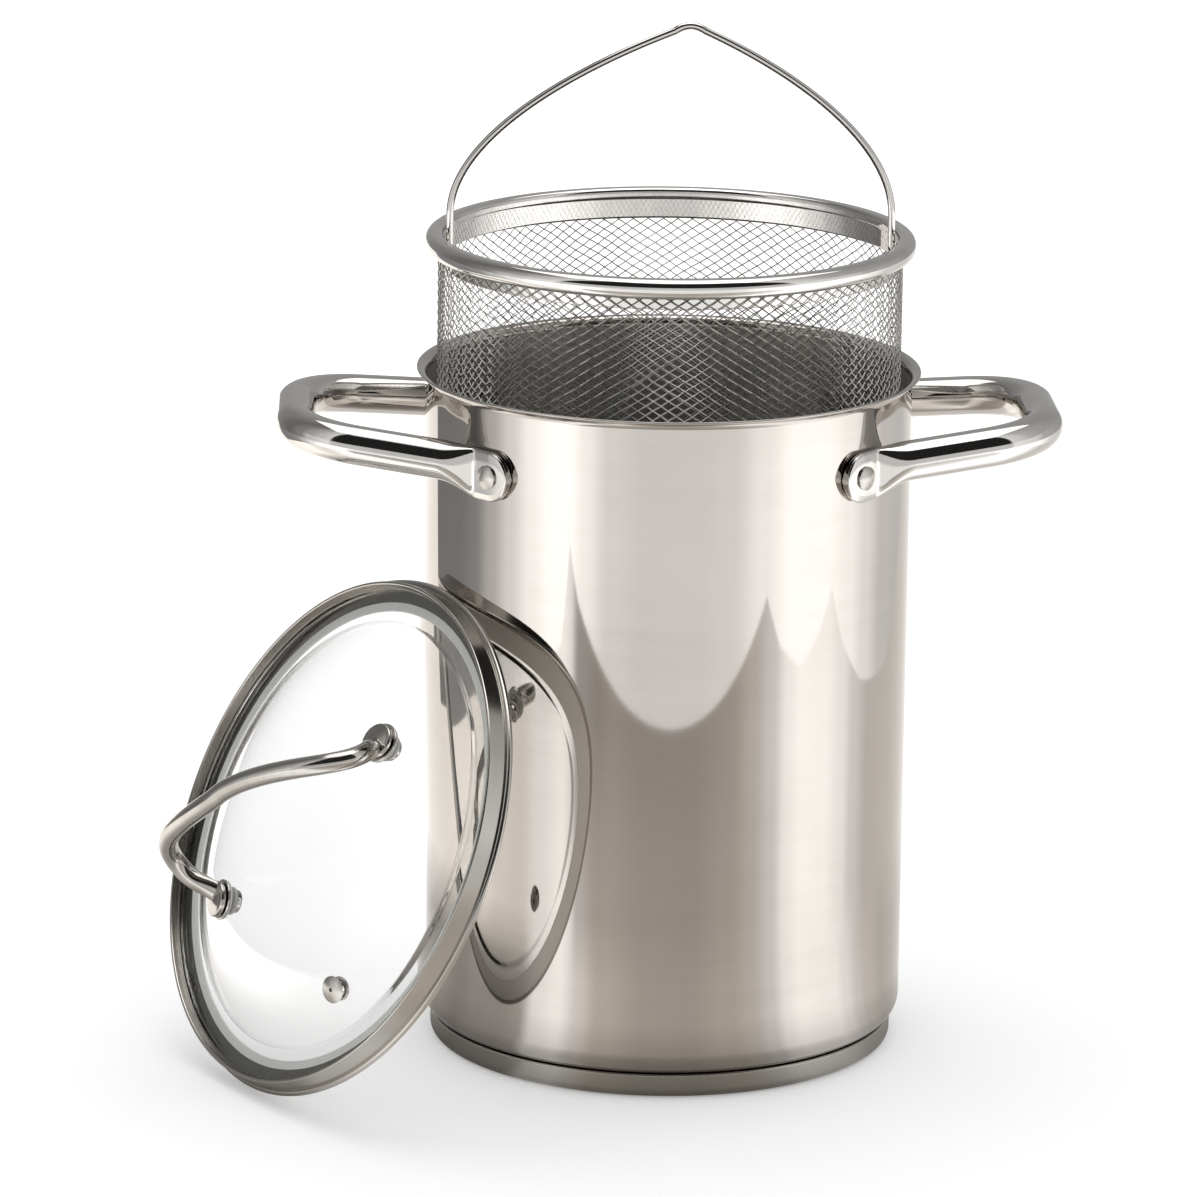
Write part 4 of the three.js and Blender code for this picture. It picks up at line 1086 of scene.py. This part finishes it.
def makeTable():
    mesh = bpy.data.meshes.new("tableTop")
    corners = [(x * mm, y * mm, table["level"]) for x, y in table["edge"]]
    mesh.from_pydata(corners, [], [tuple(range(len(corners)))])
    piece = addObject("tableTop", mesh)
    material, tree, shader, place = newMaterial("table_paper")
    split = splitNode(tree, place)
    reach = reachNode(tree, split)
    # seen in the wall, the bearing from the axis turns on a little near the foot
    turn = plus(tree, mathNode(tree, "DIVIDE", table["footTurn"], reach), 1.0)
    bearing = times(tree, bearingNode(tree, split), turn)
    labels = ("paintedReflectionWarmth", "near", "far", "paintedFrontShade")
    # the table glows only for rays mirrored off the metal, a painted reflection of highlights and shade
    paintedReflectionWarmth, near, far, paintedFrontShade = (ringRamp(tree, bearing, table[label]) for label in labels)
    paintedReflectionGlow = blend(tree, rangeNode(tree, reach, *table["nearToFar"]), near, far)
    # painted shade in front of the pot, farther out
    paintedFrontShade = times(tree, paintedFrontShade, rangeNode(tree, reach, *table["paintedFrontShadeSpan"]))
    paintedReflectionGlow = times(tree, paintedReflectionGlow, mathNode(tree, "SUBTRACT", 1.0, paintedFrontShade))
    path = addNode(tree, "LightPath")
    # painted contact shadow: in the mirror the table's glow is darker where it lies close to what stands on
    # it
    paintedContactShade = rangeNode(tree, path.outputs["Ray Length"], 0.0, table["paintedContactShade"], table["paintedContactShadeLevel"], 1.0)
    paintedReflectionGlow = times(tree, paintedReflectionGlow, paintedContactShade)
    mirrored = isMirrored(tree, path)
    # as the metal sees it the paper takes the dark mirrored colour, a painted shade
    shade = colourMix(tree, mirrored, table["paper"], table["mirrored"])
    grain = noiseNode(tree, place, table["grain"], 3.0, 0.6)
    paper = addNode(tree, "Mix")
    paper.data_type = "RGBA"
    paper.blend_type = "MULTIPLY"
    paper.inputs["Factor"].default_value = table["grainShare"]
    link(tree, shade, paper.inputs[6])
    link(tree, grain, paper.inputs[7])
    link(tree, paper.outputs[2], shader.inputs["Base Color"])
    setInputs(shader, {"Roughness": table["rough"], "Specular IOR Level": 0.0})
    # white paper for the camera, also through the glass
    direct = mathNode(tree, "MAXIMUM", path.outputs["Is Camera Ray"], path.outputs["Is Transmission Ray"])
    lift = times(tree, direct, rangeNode(tree, reach, *table["liftSpan"], table["lift"], table["liftFar"]))
    link(tree, blend(tree, mirrored, lift, paintedReflectionGlow), shader.inputs["Emission Strength"])
    # the painted reflection is tinted warm in front of the pot
    tint = colourMix(tree, times(tree, paintedReflectionWarmth, mirrored), (1, 1, 1), table["paintedWarmReflection"])
    link(tree, tint, shader.inputs["Emission Color"])
    mesh.materials.append(material)


# the white studio as metal mirrors it: soft side panels, a dark room behind the camera, a bright ceiling
studio = {
    "low": [(-180, 1.0), (-160, 1.2), (-142, 0.29), (-119, 0.33), (-106, 0.42), (-94, 0.82), (-82, 1.33),
        (-70, 1.9), (-58, 2.25), (-50, 2.25), (-42, 1.85), (-30, 1.35), (-12, 1.22), (12, 1.22), (28, 1.3),
        (44, 1.75), (60, 2.2), (78, 2.2), (94, 1.88), (106, 1.46), (121, 1.0), (142, 0.83), (156, 0.98),
        (180, 1.05)],
    "middle": [(-180, 0.4), (-150, 0.3), (-118, 0.2), (-98, 0.32), (-84, 0.8), (-59, 1.2), (-54, 0.8),
        (54, 0.8), (59, 1.2), (86, 1.0), (106, 0.6), (150, 0.4), (180, 0.4)],
    "high": [(-180, 0.4), (-150, 0.3), (-118, 0.2), (-98, 0.3), (-86, 0.5), (-66, 0.8), (-57, 1.0),
        (-54, 0.02), (54, 0.02), (57, 1.0), (66, 0.9), (86, 0.6), (108, 0.5), (150, 0.4), (180, 0.4)],
    "ceiling": 1.45, "fill": 0.75, "toMiddle": (-10, -7), "toHigh": (13, 15), "toCeiling": (67, 71),
}


def makeWorld():
    world = bpy.data.worlds.new("studio")
    scene.world = world
    world.use_nodes = True
    tree = world.node_tree
    sky = tree.nodes["Background"]
    split = splitNode(tree, addNode(tree, "TexCoord").outputs["Generated"])
    bearing = bearingNode(tree, split)
    lift = mathNode(tree, "ARCSINE", split["Z"])
    level, middle, high = (ringRamp(tree, bearing, studio[label]) for label in ("low", "middle", "high"))
    ceiling = addNode(tree, "Value").outputs[0]
    ceiling.default_value = studio["ceiling"]
    for label, above in (("toMiddle", middle), ("toHigh", high), ("toCeiling", ceiling)):
        start, end = (radians(angle) for angle in studio[label])
        level = blend(tree, rangeNode(tree, lift, start, end), level, above)
    path = addNode(tree, "LightPath")
    mirrored = isMirrored(tree, path)
    diffuse = path.outputs["Is Diffuse Ray"]
    white = mathNode(tree, "SUBTRACT", 1.0, mirrored)
    seen = plus(tree, times(tree, level, mirrored), white)
    seen = times(tree, seen, mathNode(tree, "SUBTRACT", 1.0, diffuse))
    link(tree, plus(tree, seen, times(tree, diffuse, studio["fill"])), sky.inputs["Strength"])
    sky.inputs["Color"].default_value = (1, 1, 1, 1)


softbox = {"spot": (0.05, 0.25, 1.5), "aim": (0, 0, 0), "width": 1.4, "height": 1.2, "power": 8}


def makeLamp():
    data = bpy.data.lights.new("overheadSoftbox", "AREA")
    data.shape = "RECTANGLE"
    data.size, data.size_y = softbox["width"], softbox["height"]
    data.energy = softbox["power"]
    lamp = addObject("overheadSoftbox", data)
    lamp.location = softbox["spot"]
    way = Vector(softbox["aim"]) - Vector(softbox["spot"])
    lamp.rotation_euler = way.to_track_quat("-Z", "Y").to_euler()


view = {
    "lens": 203.829, "sensor": 36, "far": 50, "spot": (-0.11514, -2.19698, 0.71410),
    "right": (0.99916, -0.03936, 0.01183), "up": (-0.00166, 0.24895, 0.96852),
    "ahead": (0.04106, 0.96771, -0.24867),
}


def makeCamera():
    data = bpy.data.cameras.new("photoCamera")
    data.sensor_width = view["sensor"]
    data.sensor_fit = "HORIZONTAL"
    data.lens = view["lens"]
    data.clip_end = view["far"]
    camera = addObject("photoCamera", data)
    turn = Matrix((view["right"], view["up"], -Vector(view["ahead"]))).transposed().to_4x4()
    camera.matrix_world = Matrix.Translation(view["spot"]) @ turn
    scene.camera = camera


makeTable()
makeWorld()
makeLamp()
makeCamera()
scene.view_settings.view_transform = "Standard"
print("studio made")
